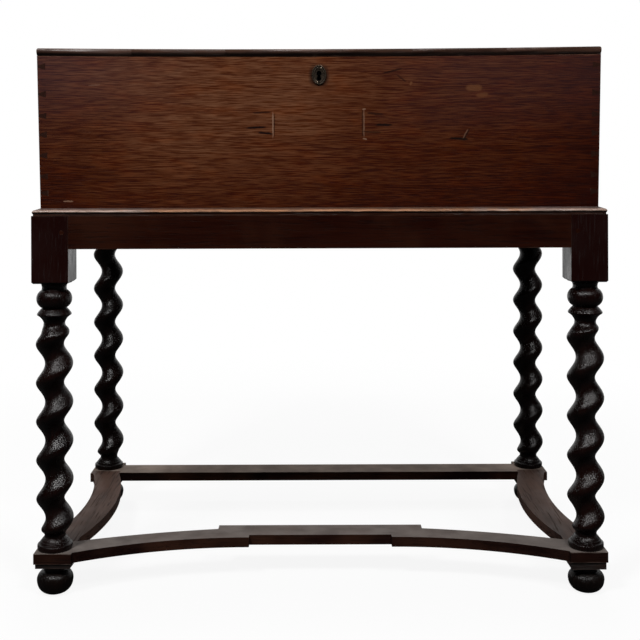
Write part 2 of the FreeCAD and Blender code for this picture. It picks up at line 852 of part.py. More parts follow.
def lock_plate():
    """The lock plate, flush with the inside of the front, with its selvedge on the top edge."""
    back = -inside_half_depth
    plate = block(
        (-lock_half_width, back - lock_plate_thickness, box_top_middle - lock_height),
        (lock_half_width, back, box_top_middle),
    )
    selvedge = block(
        (-lock_half_width, back - lock_depth, box_top_middle - lock_plate_thickness),
        (lock_half_width, back, box_top_middle),
    )
    slot = link_slot_box(link_slot_gap)
    slot_limit = block(
        (-lock_half_width, back - lock_depth, box_top_middle - lock_plate_thickness),
        (lock_half_width, back - lock_plate_thickness, box_top_middle + overrun),
    )
    cuts = [slot.common(slot_limit), key_pin(glue_gap)] + lock_screws(glue_gap)
    return plate.fuse(selvedge).removeSplitter().cut(cuts)


def lock_cap():
    """The cap over the bolt: a tray open towards the plate, with its own keyhole."""
    back = -inside_half_depth - lock_plate_thickness
    front = -inside_half_depth - lock_depth
    low = box_top_middle - cap_drop
    high = box_top_middle - lock_plate_thickness
    tray = block((-cap_half_width, front, low), (cap_half_width, back, high))
    room = block(
        (-cap_half_width + cap_wall, front + cap_wall, low + cap_wall),
        (cap_half_width - cap_wall, back, high),
    )
    return tray.cut([room, keyhole(glue_gap)])


def lock_bolt():
    """The bolt, drawn back clear of the link."""
    middle = link_middle_y()
    high = box_top_middle - bolt_drop
    return block(
        (bolt_end_x - bolt_length, middle - bolt_thickness / 2, high - bolt_height),
        (bolt_end_x, middle + bolt_thickness / 2, high),
    )


def key_pin(gap):
    """The pin on which a pipe key turns, grown by a gap."""
    back = -inside_half_depth
    far_end = back - lock_depth + cap_wall
    return rod(key_pin_radius + gap, (0, back, keyhole_height), (0, far_end, keyhole_height))


def lock_screws(gap):
    """The screws that hold the lock plate to the front board."""
    screws = []
    x = (lock_half_width + cap_half_width) / 2
    for z in (box_top_middle - lock_height + lock_screw_inset, box_top_middle - lock_screw_inset * 2):
        screws.append(countersunk(
            (x, -inside_half_depth, z), (0, -1, 0), lock_screw_radius + gap, lock_screw_head + gap,
            lock_plate_thickness / 2, lock_screw_length + gap,
        ))
    return screws + [mirrored_x(s) for s in screws]


def link_plate_box(gap):
    """The plate of the link, let into the underside of the lid and grown by a gap."""
    middle = link_middle_y()
    half = link_plate_width / 2 + gap
    return block(
        (-link_plate_half - gap, middle - half, lid_bottom),
        (link_plate_half + gap, middle + half, lid_bottom + link_plate_thickness + gap),
    )


def link_recess():
    """The room for the link plate in the lid."""
    low = link_plate_box(glue_gap)
    low.translate(Vector(0, 0, -link_plate_thickness))
    return link_plate_box(glue_gap).fuse(low)


def link_plate():
    """The link plate under the lid and the eye that drops into the lock."""
    middle = link_middle_y()
    eye = block(
        (-link_thickness / 2, middle - link_width / 2, lid_bottom - link_length),
        (link_thickness / 2, middle + link_width / 2, lid_bottom),
    )
    high = box_top_middle - bolt_drop + running_gap
    hole = block(
        (-link_thickness, middle - bolt_thickness / 2 - running_gap, high - bolt_height - 2 * running_gap),
        (link_thickness, middle + bolt_thickness / 2 + running_gap, high),
    )
    return link_plate_box(0).fuse(eye).removeSplitter().cut([hole] + link_screws(glue_gap))


def link_screws(gap):
    """The two screws of the link plate."""
    point = (link_plate_half - lock_screw_inset, link_middle_y(), lid_bottom)
    screw = countersunk(
        point, (0, 0, 1), lock_screw_radius + gap, lock_screw_head + gap, link_plate_thickness / 2,
        lock_screw_length + gap,
    )
    return [screw, mirrored_x(screw)]


def build_stand():
    """Writes the stand's sub-parts."""
    legs = (
        ("front_left", True, False, twist_pitch_front_left, twist_ridge_front_left, twist_radius_front),
        ("front_right", False, False, twist_pitch_front_right, twist_ridge_front_right, twist_radius_front),
        ("back_left", True, True, twist_pitch_back_left, twist_ridge_back_left, twist_radius_back_left),
        ("back_right", False, True, twist_pitch_back_right, twist_ridge_back_right, twist_radius_back_right),
    )
    for corner, left, back, pitch, ridge, radius in legs:
        pad_low = pad_bottom if left else pad_bottom - right_pad_extra
        save("leg_" + corner, leg(left, back, pitch, ridge, radius))
        save("pad_" + corner, to_corner(pad(pad_low), left, back))
        save("foot_" + corner, to_corner(foot(pad_low), left, back))
    save("rail_front", front_rail())
    save("rail_back", mirrored_y(front_rail()))
    save("rail_right", right_rail())
    save("rail_left", mirrored_x(right_rail()))
    save("rail_pegs", rail_pegs())
    save("moulding_front", moulding_strip(half_width, half_depth))
    save("moulding_back", mirrored_y(moulding_strip(half_width, half_depth)))
    save("moulding_right", side_moulding())
    save("moulding_left", mirrored_x(side_moulding()))
    save("stretcher_front", front_stretcher())
    save("stretcher_back", back_stretcher())
    save("stretcher_right", right_stretcher())
    save("stretcher_left", mirrored_x(right_stretcher()))


def build_box():
    """Writes the sub-parts of the box below the lid."""
    nails = Part.makeCompound(bottom_nails(nail_radius))
    save("box_front", front_board())
    save("box_back", back_board())
    save("box_end_right", right_end())
    save("box_end_left", mirrored_x(right_end()))
    save("box_bottom", bottom_board(0).cut(bottom_nails(nail_radius + glue_gap)))
    save("bottom_nails", nails)
    save("escutcheon", escutcheon())
    save("escutcheon_pins", escutcheon_pins())
    save("lock_plate", lock_plate())
    save("lock_cap", lock_cap())
    save("lock_bolt", lock_bolt())
    save("key_pin", key_pin(0))
    save("lock_screws", Part.makeCompound(lock_screws(0)))


def build_lid():
    """Writes the lid, its hinges and the link of the lock."""
    save("lid_board", lid_board())
    save("hinge_lid_leaf_right", hinge_leaf(True))
    save("hinge_lid_leaf_left", mirrored_x(hinge_leaf(True)))
    save("hinge_box_leaf_right", hinge_leaf(False))
    save("hinge_box_leaf_left", mirrored_x(hinge_leaf(False)))
    save("hinge_pin_right", hinge_pin(0))
    save("hinge_pin_left", mirrored_x(hinge_pin(0)))
    save("hinge_lid_screws", Part.makeCompound(hinge_screws(True, 0)))
    save("hinge_box_screws", Part.makeCompound(hinge_screws(False, 0)))
    save("link_plate", link_plate())
    save("link_screws", Part.makeCompound(link_screws(0)))


os.makedirs("parts", exist_ok=True)
build_stand()
build_box()
build_lid()
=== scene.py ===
import logging
import math
import random
from collections.abc import Callable
from dataclasses import dataclass, field
from enum import Enum
from functools import cached_property

import bpy
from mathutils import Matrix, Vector


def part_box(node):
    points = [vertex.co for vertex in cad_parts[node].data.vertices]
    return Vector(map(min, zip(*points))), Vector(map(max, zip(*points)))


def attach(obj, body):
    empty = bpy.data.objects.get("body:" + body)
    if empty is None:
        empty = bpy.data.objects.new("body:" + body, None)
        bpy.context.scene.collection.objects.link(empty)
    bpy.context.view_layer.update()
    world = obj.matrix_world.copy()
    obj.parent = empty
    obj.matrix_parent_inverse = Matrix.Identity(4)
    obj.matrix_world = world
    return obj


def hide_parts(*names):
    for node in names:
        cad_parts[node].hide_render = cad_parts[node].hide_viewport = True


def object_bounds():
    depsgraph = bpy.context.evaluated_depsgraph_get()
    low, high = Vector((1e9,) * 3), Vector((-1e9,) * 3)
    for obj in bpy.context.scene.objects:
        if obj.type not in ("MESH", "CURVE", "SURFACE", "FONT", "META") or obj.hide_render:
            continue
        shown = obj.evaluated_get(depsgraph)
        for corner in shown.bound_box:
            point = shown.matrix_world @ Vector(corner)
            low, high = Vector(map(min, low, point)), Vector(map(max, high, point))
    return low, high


# Looks of a dovetailed oak box on a barley-twist stand. The imported model gives every board, turning and fitting its
# shape; this script adds the grain, wax, wear and dust, some painted light and shade in the colours, the slotted
# screw heads, the keyhole plate, the light and the camera. Metres.

Colour = tuple[float, float, float]
Point = tuple[float, float, float]
Span = tuple[float, ...]
Socket = bpy.types.NodeSocket
Node = bpy.types.Node
NodeTree = bpy.types.NodeTree
Material = bpy.types.Material
Object = bpy.types.Object

log = logging.getLogger("bible_box")
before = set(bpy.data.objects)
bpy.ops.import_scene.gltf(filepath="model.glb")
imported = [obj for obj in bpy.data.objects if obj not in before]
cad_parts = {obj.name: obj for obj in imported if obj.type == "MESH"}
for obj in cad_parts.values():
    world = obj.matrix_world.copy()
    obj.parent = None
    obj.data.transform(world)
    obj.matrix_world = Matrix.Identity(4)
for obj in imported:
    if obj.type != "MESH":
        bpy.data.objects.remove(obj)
cad_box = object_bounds()

MM = 0.001


class Grain(Enum):
    """The way the fibres of a board or a turning run, as the turn of the figure."""

    ALONG_X = (0.0, 0.0, 0.0)
    ALONG_Y = (0.0, 0.0, -math.pi / 2)
    ALONG_Z = (0.0, math.pi / 2, 0.0)

    @property
    def axis(self) -> Point:
        """The fibres' direction."""
        return {"ALONG_X": (1.0, 0.0, 0.0), "ALONG_Y": (0.0, 1.0, 0.0), "ALONG_Z": (0.0, 0.0, 1.0)}[self.name]


class MarkKind(Enum):
    """What a mark on the front board is, as the colour that it shows."""

    SCRATCH = (0.22, 0.125, 0.08)
    GOUGE = (0.008, 0.003, 0.002)
    WARM_SPOT = (0.13, 0.050, 0.020)
    # Grime together with painted shade round the keyhole plate.
    GRIME_AND_SHADE = (0.012, 0.005, 0.003)
    # Painted shade in the keyhole's hollow, near black.
    KEYHOLE_SHADE = (0.0006, 0.0003, 0.0002)


def shrunk(values: Colour | Point, factor: float) -> tuple[float, ...]:
    """Multiplies a colour or a place by a number."""
    return tuple(value * factor for value in values)


class Graph:
    """A shader node tree that is being filled."""

    def __init__(self, tree: NodeTree) -> None:
        """Takes over the node tree of a material, a world or a group."""
        self.tree = tree

    def add(self, kind: str, inputs: object = (), **settings: object) -> Node:
        """Adds a node and feeds its inputs.

        Args:
            kind: Blender's name of the node's type.
            inputs: What the inputs get, in their order or under their numbers or names.
            settings: Properties to set on it.

        Returns:
            The new node.
        """
        node = self.tree.nodes.new(kind)
        for name, value in settings.items():
            setattr(node, name, value)
        self.fill(node.inputs, inputs)
        return node

    def fill(self, inputs: object, values: object) -> None:
        """Feeds several inputs, in their order or under their numbers or names."""
        for key, value in values.items() if isinstance(values, dict) else enumerate(values):
            self.feed(inputs[key], value)

    def feed(self, socket: Socket, value: object) -> None:
        """Links a socket to an input, or sets the input's own value.

        Args:
            socket: The input.
            value: A socket, a number, a vector or a colour.
        """
        if isinstance(value, Socket):
            self.tree.links.new(value, socket)
        elif hasattr(socket.default_value, "__len__") and len(socket.default_value) == 4 and len(value) == 3:
            socket.default_value = (*value, 1.0)
        else:
            socket.default_value = value

    def math(self, operation: str, *values: object, clamp: bool = False) -> Socket:
        """Works on numbers, with Blender's name of the operation; the result can be kept from nought to one."""
        return self.add("ShaderNodeMath", values, operation=operation, use_clamp=clamp).outputs[0]

    def plus(self, first: object, second: object) -> Socket:
        """Adds two numbers."""
        return self.math("ADD", first, second)

    def minus(self, first: object, second: object) -> Socket:
        """Takes the second number from the first."""
        return self.math("SUBTRACT", first, second)

    def times(self, first: object, second: object) -> Socket:
        """Multiplies two numbers."""
        return self.math("MULTIPLY", first, second)

    def vector(self, operation: str, *values: object) -> Socket:
        """Works on vectors, with Blender's name of the operation."""
        outputs = self.add("ShaderNodeVectorMath", values, operation=operation).outputs
        return outputs["Value" if operation in ("DOT_PRODUCT", "LENGTH") else "Vector"]

    def scaled(self, value: Socket, factor: object) -> Socket:
        """Multiplies a vector or a colour by a number."""
        return self.add("ShaderNodeVectorMath", {0: value, "Scale": factor}, operation="SCALE").outputs["Vector"]

    def parts(self, value: Socket) -> tuple[Socket, ...]:
        """Splits a vector in its three numbers."""
        return tuple(self.add("ShaderNodeSeparateXYZ", [value]).outputs)

    def mapped(self, value: Socket, rotation: object = (0, 0, 0), scale: Point = (1, 1, 1),
               location: Point = (0, 0, 0)) -> Socket:
        """Turns, stretches and moves a pattern's coordinates."""
        return self.add("ShaderNodeMapping", (value, location, rotation, scale)).outputs[0]

    def noise(self, where: Socket, scale: float | Point, detail: float = 2.0, distortion: float = 0.0,
              seed: object = 0.0) -> Socket:
        """A cloudy pattern.

        Args:
            where: The coordinates.
            scale: How many clouds to the metre, in all directions or along each axis.
            detail: How many finer layers it has.
            distortion: How much it swirls.
            seed: Which pattern of its kind it is.

        Returns:
            A number from nought to one, mostly near a half.
        """
        if isinstance(scale, tuple):
            where, scale = self.mapped(where, scale=scale), 1.0
        inputs = {"Vector": where, "W": seed, "Scale": scale, "Detail": detail, "Distortion": distortion}
        return self.add("ShaderNodeTexNoise", inputs, noise_dimensions="4D").outputs["Fac"]

    def wobble(self, where: Socket, scale: float, width: float, detail: float = 3.0, seed: object = 0.0) -> Socket:
        """Takes a cloudy pattern as a small shift to either side, of a whole width."""
        return self.times(self.minus(self.noise(where, scale, detail, seed=seed), 0.5), width)

    def span(self, value: object, low: object, high: object, to_low: object = 0.0, to_high: object = 1.0) -> Socket:
        """Maps the numbers from low to high smoothly on those from to_low to to_high, and clamps them there."""
        inputs = (value, low, high, to_low, to_high)
        return self.add("ShaderNodeMapRange", inputs, interpolation_type="SMOOTHSTEP").outputs[0]

    def blend(self, share: object, first: object, second: object, how: str = "MIX") -> Socket:
        """Mixes a share of the second colour in the first, with Blender's name of the blend."""
        return self.add("ShaderNodeMix", {0: share, 6: first, 7: second}, data_type="RGBA", blend_type=how).outputs[2]

    def curve(self, value: Socket, points: tuple[tuple[float, float], ...]) -> Socket:
        """Maps a number along a smooth curve.

        Args:
            value: The number.
            points: The curve's points, each a number and what it becomes, from the least number to the greatest.

        Returns:
            The mapped number.
        """
        low, high = points[0][0], points[-1][0]
        node = self.add("ShaderNodeFloatCurve")
        line = node.mapping.curves[0].points
        for _ in points[2:]:
            line.new(0.5, 0.5)
        for point, (number, result) in zip(line, points):
            point.location = ((number - low) / (high - low), result)
        node.mapping.update()
        self.feed(node.inputs["Value"], self.math("DIVIDE", self.minus(value, low), high - low, clamp=True))
        return node.outputs[0]

    def ramp(self, value: Socket, stops: tuple[tuple[float, Colour], ...]) -> Socket:
        """Turns a number into a colour.

        Args:
            value: The number, from nought to one.
            stops: The numbers at which colours are given.

        Returns:
            The colour.
        """
        node = self.add("ShaderNodeValToRGB", [value])
        elements = node.color_ramp.elements
        for _ in stops[2:]:
            elements.new(0.5)
        for element, (place, colour) in zip(elements, stops):
            element.position = place
            element.color = (*colour, 1.0)
        return node.outputs[0]

    def bump(self, height: Socket, distance: float, strength: float = 1.0) -> Socket:
        """Gives the normal of a surface that a pattern raises by up to a distance."""
        return self.add("ShaderNodeBump", {"Strength": strength, "Distance": distance, "Height": height}).outputs[0]

    def group(self, tree: NodeTree, **values: object) -> Node:
        """Places a node group and feeds its inputs, whose names have underscores for spaces."""
        inputs = {name.replace("_", " "): value for name, value in values.items()}
        return self.add("ShaderNodeGroup", inputs, node_tree=tree)


def new_material(name: str) -> tuple[Material, Graph, Node, bpy.types.NodeOutputs]:
    """Starts a material.

    Args:
        name: Its name.

    Returns:
        The material, its graph, its shader and its texture coordinates by name.
    """
    made = bpy.data.materials.new(name)
    made.use_nodes = True
    graph = Graph(made.node_tree)
    return made, graph, made.node_tree.nodes["Principled BSDF"], graph.add("ShaderNodeTexCoord").outputs


@dataclass
class Effects:
    """The shader node groups that the finishes share, each built once.

    A scale is in clouds to the metre, and a span is what Graph.span takes after its value.
    """

    drift_scale: Point = (5.0, 9.0, 9.0)
    drift_reach: Point = (0.0, 0.005, 0.005)
    fibre_scale: Point = (30.0, 820.0, 820.0)
    fibre_span: Span = (0.34, 0.66)
    band_scale: Point = (3.5, 95.0, 95.0)
    band_span: Span = (0.33, 0.67)
    dash_scale: Point = (38.0, 900.0, 900.0)
    pore_span: Span = (0.57, 0.67)
    pore_drop: float = 0.8
    rub_scale: float = 55.0
    rub_span: Span = (0.35, 0.72, 0.25, 1.5)
    dust_and_light_scale: float = 30.0
    dust_and_light_span: Span = (0.30, 0.70, 0.55, 1.0)
    level_span: Span = (0.45, 0.95)
    wander_scale: float = 240.0
    wander_reach: float = 1.6 * MM
    oval_span: Span = (0.15, 1.1, 1.0, 0.0)

    def start(self, name: str, inputs: dict[str, object], *outputs: str) -> tuple[Graph, dict, dict]:
        """Opens a new group.

        Args:
            name: The group's name.
            inputs: Each input's name and default, a number or a triple.
            outputs: The names of the numbers that it puts out.

        Returns:
            Its graph, its input sockets by name and its output sockets by name.
        """
        tree = bpy.data.node_groups.new(name, "ShaderNodeTree")
        for label, value in inputs.items():
            kind = "Float" if isinstance(value, float) else "Vector"
            socket = tree.interface.new_socket(label, in_out="INPUT", socket_type="NodeSocket" + kind)
            socket.default_value = value
        for label in outputs:
            tree.interface.new_socket(label, in_out="OUTPUT", socket_type="NodeSocketFloat")
        graph = Graph(tree)
        entry = graph.add("NodeGroupInput")
        leave = graph.add("NodeGroupOutput")
        return graph, {s.name: s for s in entry.outputs}, {s.name: s for s in leave.inputs}

    @cached_property
    def oak(self) -> NodeTree:
        """Oak's fibres, pores and growth bands, with the fibres along X.

        Returns:
            The group.
        """
        inputs = {"Vector": (0.0, 0.0, 0.0), "Seed": 0.0, "Fineness": 1.0}
        graph, given, out = self.start("oak figure", inputs, "Fibre", "Band", "Pore", "Height")
        seed = given["Seed"]
        where = graph.scaled(given["Vector"], given["Fineness"])
        drift = graph.noise(where, self.drift_scale, seed=seed)
        bent = graph.vector("ADD", where, graph.vector("MULTIPLY", drift, self.drift_reach))
        fibre = graph.noise(bent, self.fibre_scale, 3.0, seed=seed)
        band = graph.noise(bent, self.band_scale, 3.0, 0.6, seed)
        pore = graph.span(graph.noise(bent, self.dash_scale, 1.0, seed=seed), *self.pore_span)
        height = graph.minus(fibre, graph.times(pore, self.pore_drop))
        graph.fill(out, {"Fibre": graph.span(fibre, *self.fibre_span), "Band": graph.span(band, *self.band_span),
                         "Pore": pore, "Height": height})
        return graph.tree

    @cached_property
    def edge_wear(self) -> NodeTree:
        """A mask that is one at the edges of a box-shaped piece, worn unevenly.

        Returns:
            The group.
        """
        inputs = {"Vector": (0.0, 0.0, 0.0), "Low": (0.0, 0.0, 0.0), "High": (1.0, 1.0, 1.0), "Width": 2.0 * MM,
                  "Seed": 0.0}
        graph, given, out = self.start("edge wear", inputs, "Mask")
        where = given["Vector"]
        inside = graph.vector("MINIMUM", graph.vector("SUBTRACT", where, given["Low"]),
                              graph.vector("SUBTRACT", given["High"], where))
        rub = graph.span(graph.noise(where, self.rub_scale, 3.0, seed=given["Seed"]), *self.rub_span)
        reach = graph.times(rub, given["Width"])
        x, y, z = (graph.span(part, 0.0, reach, 1.0, 0.0) for part in graph.parts(inside))
        pairs = [graph.times(first, second) for first, second in ((x, y), (y, z), (z, x))]
        graph.feed(out["Mask"], graph.math("MAXIMUM", pairs[0], graph.math("MAXIMUM", pairs[1], pairs[2])))
        return graph.tree

    @cached_property
    def dust_and_light(self) -> NodeTree:
        """A mask for the faces that look up: dusty, and lighter with painted light from above.

        Returns:
            The group.
        """
        inputs = {"Vector": (0.0, 0.0, 0.0), "Normal": (0.0, 0.0, 1.0), "Amount": 0.5, "Seed": 0.0}
        graph, given, out = self.start("dust_and_light", inputs, "Mask")
        # Faces that look up get dust together with painted light from above.
        level = graph.span(graph.parts(given["Normal"])[2], *self.level_span)
        cloud = graph.noise(given["Vector"], self.dust_and_light_scale, 4.0, seed=given["Seed"])
        on_tops = graph.times(level, graph.span(cloud, *self.dust_and_light_span))
        graph.feed(out["Mask"], graph.math("MULTIPLY", on_tops, given["Amount"], clamp=True))
        return graph.tree

    @cached_property
    def mark(self) -> NodeTree:
        """A mask of one short line or spot on a board that stands upright and looks along Y.

        Returns:
            The group.
        """
        inputs = {"Vector": (0.0, 0.0, 0.0), "Middle": (0.0, 0.0, 0.0), "Turn": (0.0, 0.0, 0.0),
                  "Half Length": 10.0 * MM, "Half Width": 1.0 * MM}
        graph, given, out = self.start("mark", inputs, "Mask")
        turned = graph.mapped(graph.vector("SUBTRACT", given["Vector"], given["Middle"]), rotation=given["Turn"])
        along, _, across = graph.parts(turned)
        across = graph.plus(across, graph.wobble(given["Vector"], self.wander_scale, self.wander_reach, 2.0))
        oval = graph.plus(graph.math("POWER", graph.math("DIVIDE", along, given["Half Length"]), 4.0),
                          graph.math("POWER", graph.math("DIVIDE", across, given["Half Width"]), 2.0))
        graph.feed(out["Mask"], graph.span(oval, *self.oval_span))
        return graph.tree


EFFECTS = Effects()


@dataclass
class Board:
    """One piece of oak that is being finished."""

    graph: Graph
    where: Socket
    normal: Socket
    grain: Grain
    seed: float
    figure: Node


@dataclass(frozen=True)
class OakFinish:
    """What all finishes of old oak share: gloss, relief, wear and dusty tops with painted light, over a colour of
    their own.
    """

    name: str
    worn: Colour = (0.16, 0.10, 0.075)
    worn_width: float = 1.6 * MM
    worn_share: float = 0.55
    dust_and_light_colour: Colour = (0.17, 0.15, 0.135)
    dust_and_light_share: float = 0.0
    roughness: float = 0.42
    sheen_scale: float = 24.0
    sheen_span: Span = (0.3, 0.7)
    polish: float = 0.06
    dulling: float = 0.07
    pore_dulling: float = 0.22
    specular: float = 0.5
    fineness: float = 1.0
    relief: float = 0.22 * MM
    relief_strength: float = 0.7
    seed_shift: Point = (0.37, 0.11, 0.23)

    def colour(self, board: Board) -> Socket:
        """Colours the wood before the wear, the dusty tops and their painted light, each kind of finish in its own
        way.
        """
        raise NotImplementedError

    def extra(self, board: Board, wood: Socket) -> Socket:
        """Adds to the colour what one particular piece has; a plain board has nothing."""
        return wood

    def bumps(self, board: Board, height: Socket) -> Socket:
        """Changes how deep the grain is; a plain board stays as it is."""
        return height

    def gloss(self, board: Board, rough: Socket) -> Socket:
        """Changes the roughness where a piece is duller; a plain board stays as it is."""
        return rough

    def material(self, node: str, grain: Grain, seed: float) -> Material:
        """Builds the finish for one piece.

        Args:
            node: The CAD node that it goes on.
            grain: The way the fibres run.
            seed: Which board it is.

        Returns:
            The material.
        """
        made, graph, shader, coordinates = new_material(f"{self.name}_{node}")
        where = coordinates["Object"]
        low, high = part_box(node)
        turned = graph.mapped(where, rotation=grain.value, location=shrunk(self.seed_shift, seed))
        figure = graph.group(EFFECTS.oak, Vector=turned, Seed=seed, Fineness=self.fineness)
        board = Board(graph, where, coordinates["Normal"], grain, seed, figure)
        wood = self.extra(board, self.colour(board))
        edge = graph.group(EFFECTS.edge_wear, Vector=where, Low=tuple(low), High=tuple(high), Width=self.worn_width,
                           Seed=seed)
        # Edge wear; on the lid, whose worn colour is light, it is also a painted highlight.
        wear_and_highlight = graph.math("MULTIPLY", edge.outputs["Mask"], self.worn_share, clamp=True)
        wood = graph.blend(wear_and_highlight, wood, self.worn)
        # Dust together with painted light on the faces that look up.
        dust_and_light = graph.group(EFFECTS.dust_and_light, Vector=where, Normal=board.normal, Amount=self.dust_and_light_share, Seed=seed)
        dull = graph.times(graph.plus(figure.outputs["Pore"], dust_and_light.outputs["Mask"]), self.pore_dulling)
        patchy = graph.span(graph.noise(where, self.sheen_scale, 3.0, seed=seed), *self.sheen_span,
                            self.roughness - self.polish, self.roughness + self.dulling)
        relief = self.bumps(board, figure.outputs["Height"])
        graph.fill(shader.inputs, {
            "Base Color": graph.blend(dust_and_light.outputs["Mask"], wood, self.dust_and_light_colour),
            "Roughness": self.gloss(board, graph.math("ADD", patchy, dull, clamp=True)),
            "Normal": graph.bump(relief, self.relief, self.relief_strength),
            "Specular IOR Level": self.specular,
        })
        return made


@dataclass(frozen=True, kw_only=True)
class BoardOak(OakFinish):
    """The finish of most boards: dark, middle and light streaks, with a tint in clouds and dark end grain."""

    dark: Colour
    mid: Colour
    light: Colour
    light_share: float = 0.55
    tint: Colour = (0.12, 0.048, 0.0256)
    tint_share: float = 0.25
    tint_scale: float = 9.0
    tint_span: Span = (0.40, 0.68)
    pore_depth: float = 0.45
    pore_tone: float = 0.25
    end_share: float = 0.55
    end_tone: float = 0.45
    end_span: Span = (0.75, 0.97)

    def colour(self, board: Board) -> Socket:
        """Colours the board by its fibres, bands, pores and end grain.

        Args:
            board: The board.

        Returns:
            The wood's colour.
        """
        graph, figure = board.graph, board.figure.outputs
        wood = graph.blend(figure["Fibre"], self.dark, self.mid)
        wood = graph.blend(graph.times(figure["Band"], self.light_share), wood, self.light)
        cloud = graph.noise(board.where, self.tint_scale, 3.0, 0.4, board.seed)
        wood = graph.blend(graph.span(cloud, *self.tint_span, 0.0, self.tint_share), wood, self.tint)
        wood = graph.blend(graph.times(figure["Pore"], self.pore_depth), wood, shrunk(self.dark, self.pore_tone))
        facing = graph.math("ABSOLUTE", graph.vector("DOT_PRODUCT", board.normal, board.grain.axis))
        end_grain = graph.span(facing, *self.end_span, 0.0, self.end_share)
        return graph.blend(end_grain, wood, shrunk(self.dark, self.end_tone))


@dataclass(frozen=True)
class Mark:
    """One scratch, gouge, spot or painted shade on the front board, placed and sized in millimetres and turned in
    degrees.
    """

    kind: MarkKind
    x: float
    z: float
    half_length: float
    half_width: float
    turn: float = 0.0
    strength: float = 1.0


FRONT_MARKS = (
    # Grime together with painted shade round the keyhole plate.
    Mark(MarkKind.GRIME_AND_SHADE, 0.0, 707.0, 15.0, 18.5, 0.0, 0.75),
    # Painted shade in the keyhole's hollow, near black.
    Mark(MarkKind.KEYHOLE_SHADE, 0.0, 706.0, 6.0, 11.0, 0.0, 1.0),
    Mark(MarkKind.SCRATCH, -63.0, 640.0, 19.0, 1.1, 90.0, 0.9),
    Mark(MarkKind.GOUGE, -61.0, 640.0, 18.0, 1.0, 90.0, 0.6),
    Mark(MarkKind.GOUGE, 59.2, 642.0, 21.0, 1.6, 90.0, 0.55),
    Mark(MarkKind.SCRATCH, 60.9, 642.0, 21.0, 1.3, 90.0, 0.45),
    Mark(MarkKind.SCRATCH, 61.0, 661.0, 2.6, 1.2, 4.0, 0.7),
    Mark(MarkKind.SCRATCH, 62.0, 620.5, 3.2, 1.2, -6.0, 0.7),
    Mark(MarkKind.GOUGE, -78.0, 657.0, 14.0, 1.5, 2.0, 0.8),
    Mark(MarkKind.GOUGE, -86.0, 636.5, 15.0, 1.8, 2.0, 1.0),
    Mark(MarkKind.GOUGE, -73.0, 628.8, 11.0, 1.8, -6.0, 1.0),
    Mark(MarkKind.GOUGE, 76.0, 655.0, 12.0, 1.6, -4.0, 0.8),
    Mark(MarkKind.GOUGE, 88.0, 639.5, 13.0, 1.9, 0.0, 1.0),
    Mark(MarkKind.GOUGE, 72.0, 630.0, 14.0, 1.6, -3.0, 0.6),
    Mark(MarkKind.GOUGE, 190.0, 620.5, 14.0, 2.2, -4.0, 1.0),
    Mark(MarkKind.SCRATCH, 199.0, 627.0, 8.0, 1.2, 62.0, 0.35),
    Mark(MarkKind.GOUGE, 201.0, 627.0, 9.0, 1.2, 62.0, 0.7),
    Mark(MarkKind.GOUGE, 100.0, 713.0, 15.0, 1.5, 14.0, 0.8),
    Mark(MarkKind.GOUGE, 112.0, 703.0, 9.0, 1.4, -38.0, 0.6),
    Mark(MarkKind.WARM_SPOT, 211.0, 689.5, 12.0, 5.5, 0.0, 0.65),
    Mark(MarkKind.WARM_SPOT, 222.0, 680.0, 9.0, 3.6, 8.0, 0.45),
    Mark(MarkKind.WARM_SPOT, 125.0, 696.0, 3.0, 2.0, 60.0, 0.8),
    Mark(MarkKind.SCRATCH, -342.0, 537.0, 7.5, 1.3, 0.0, 0.7),
    Mark(MarkKind.SCRATCH, -306.0, 695.0, 9.0, 0.9, 3.0, 0.35),
)


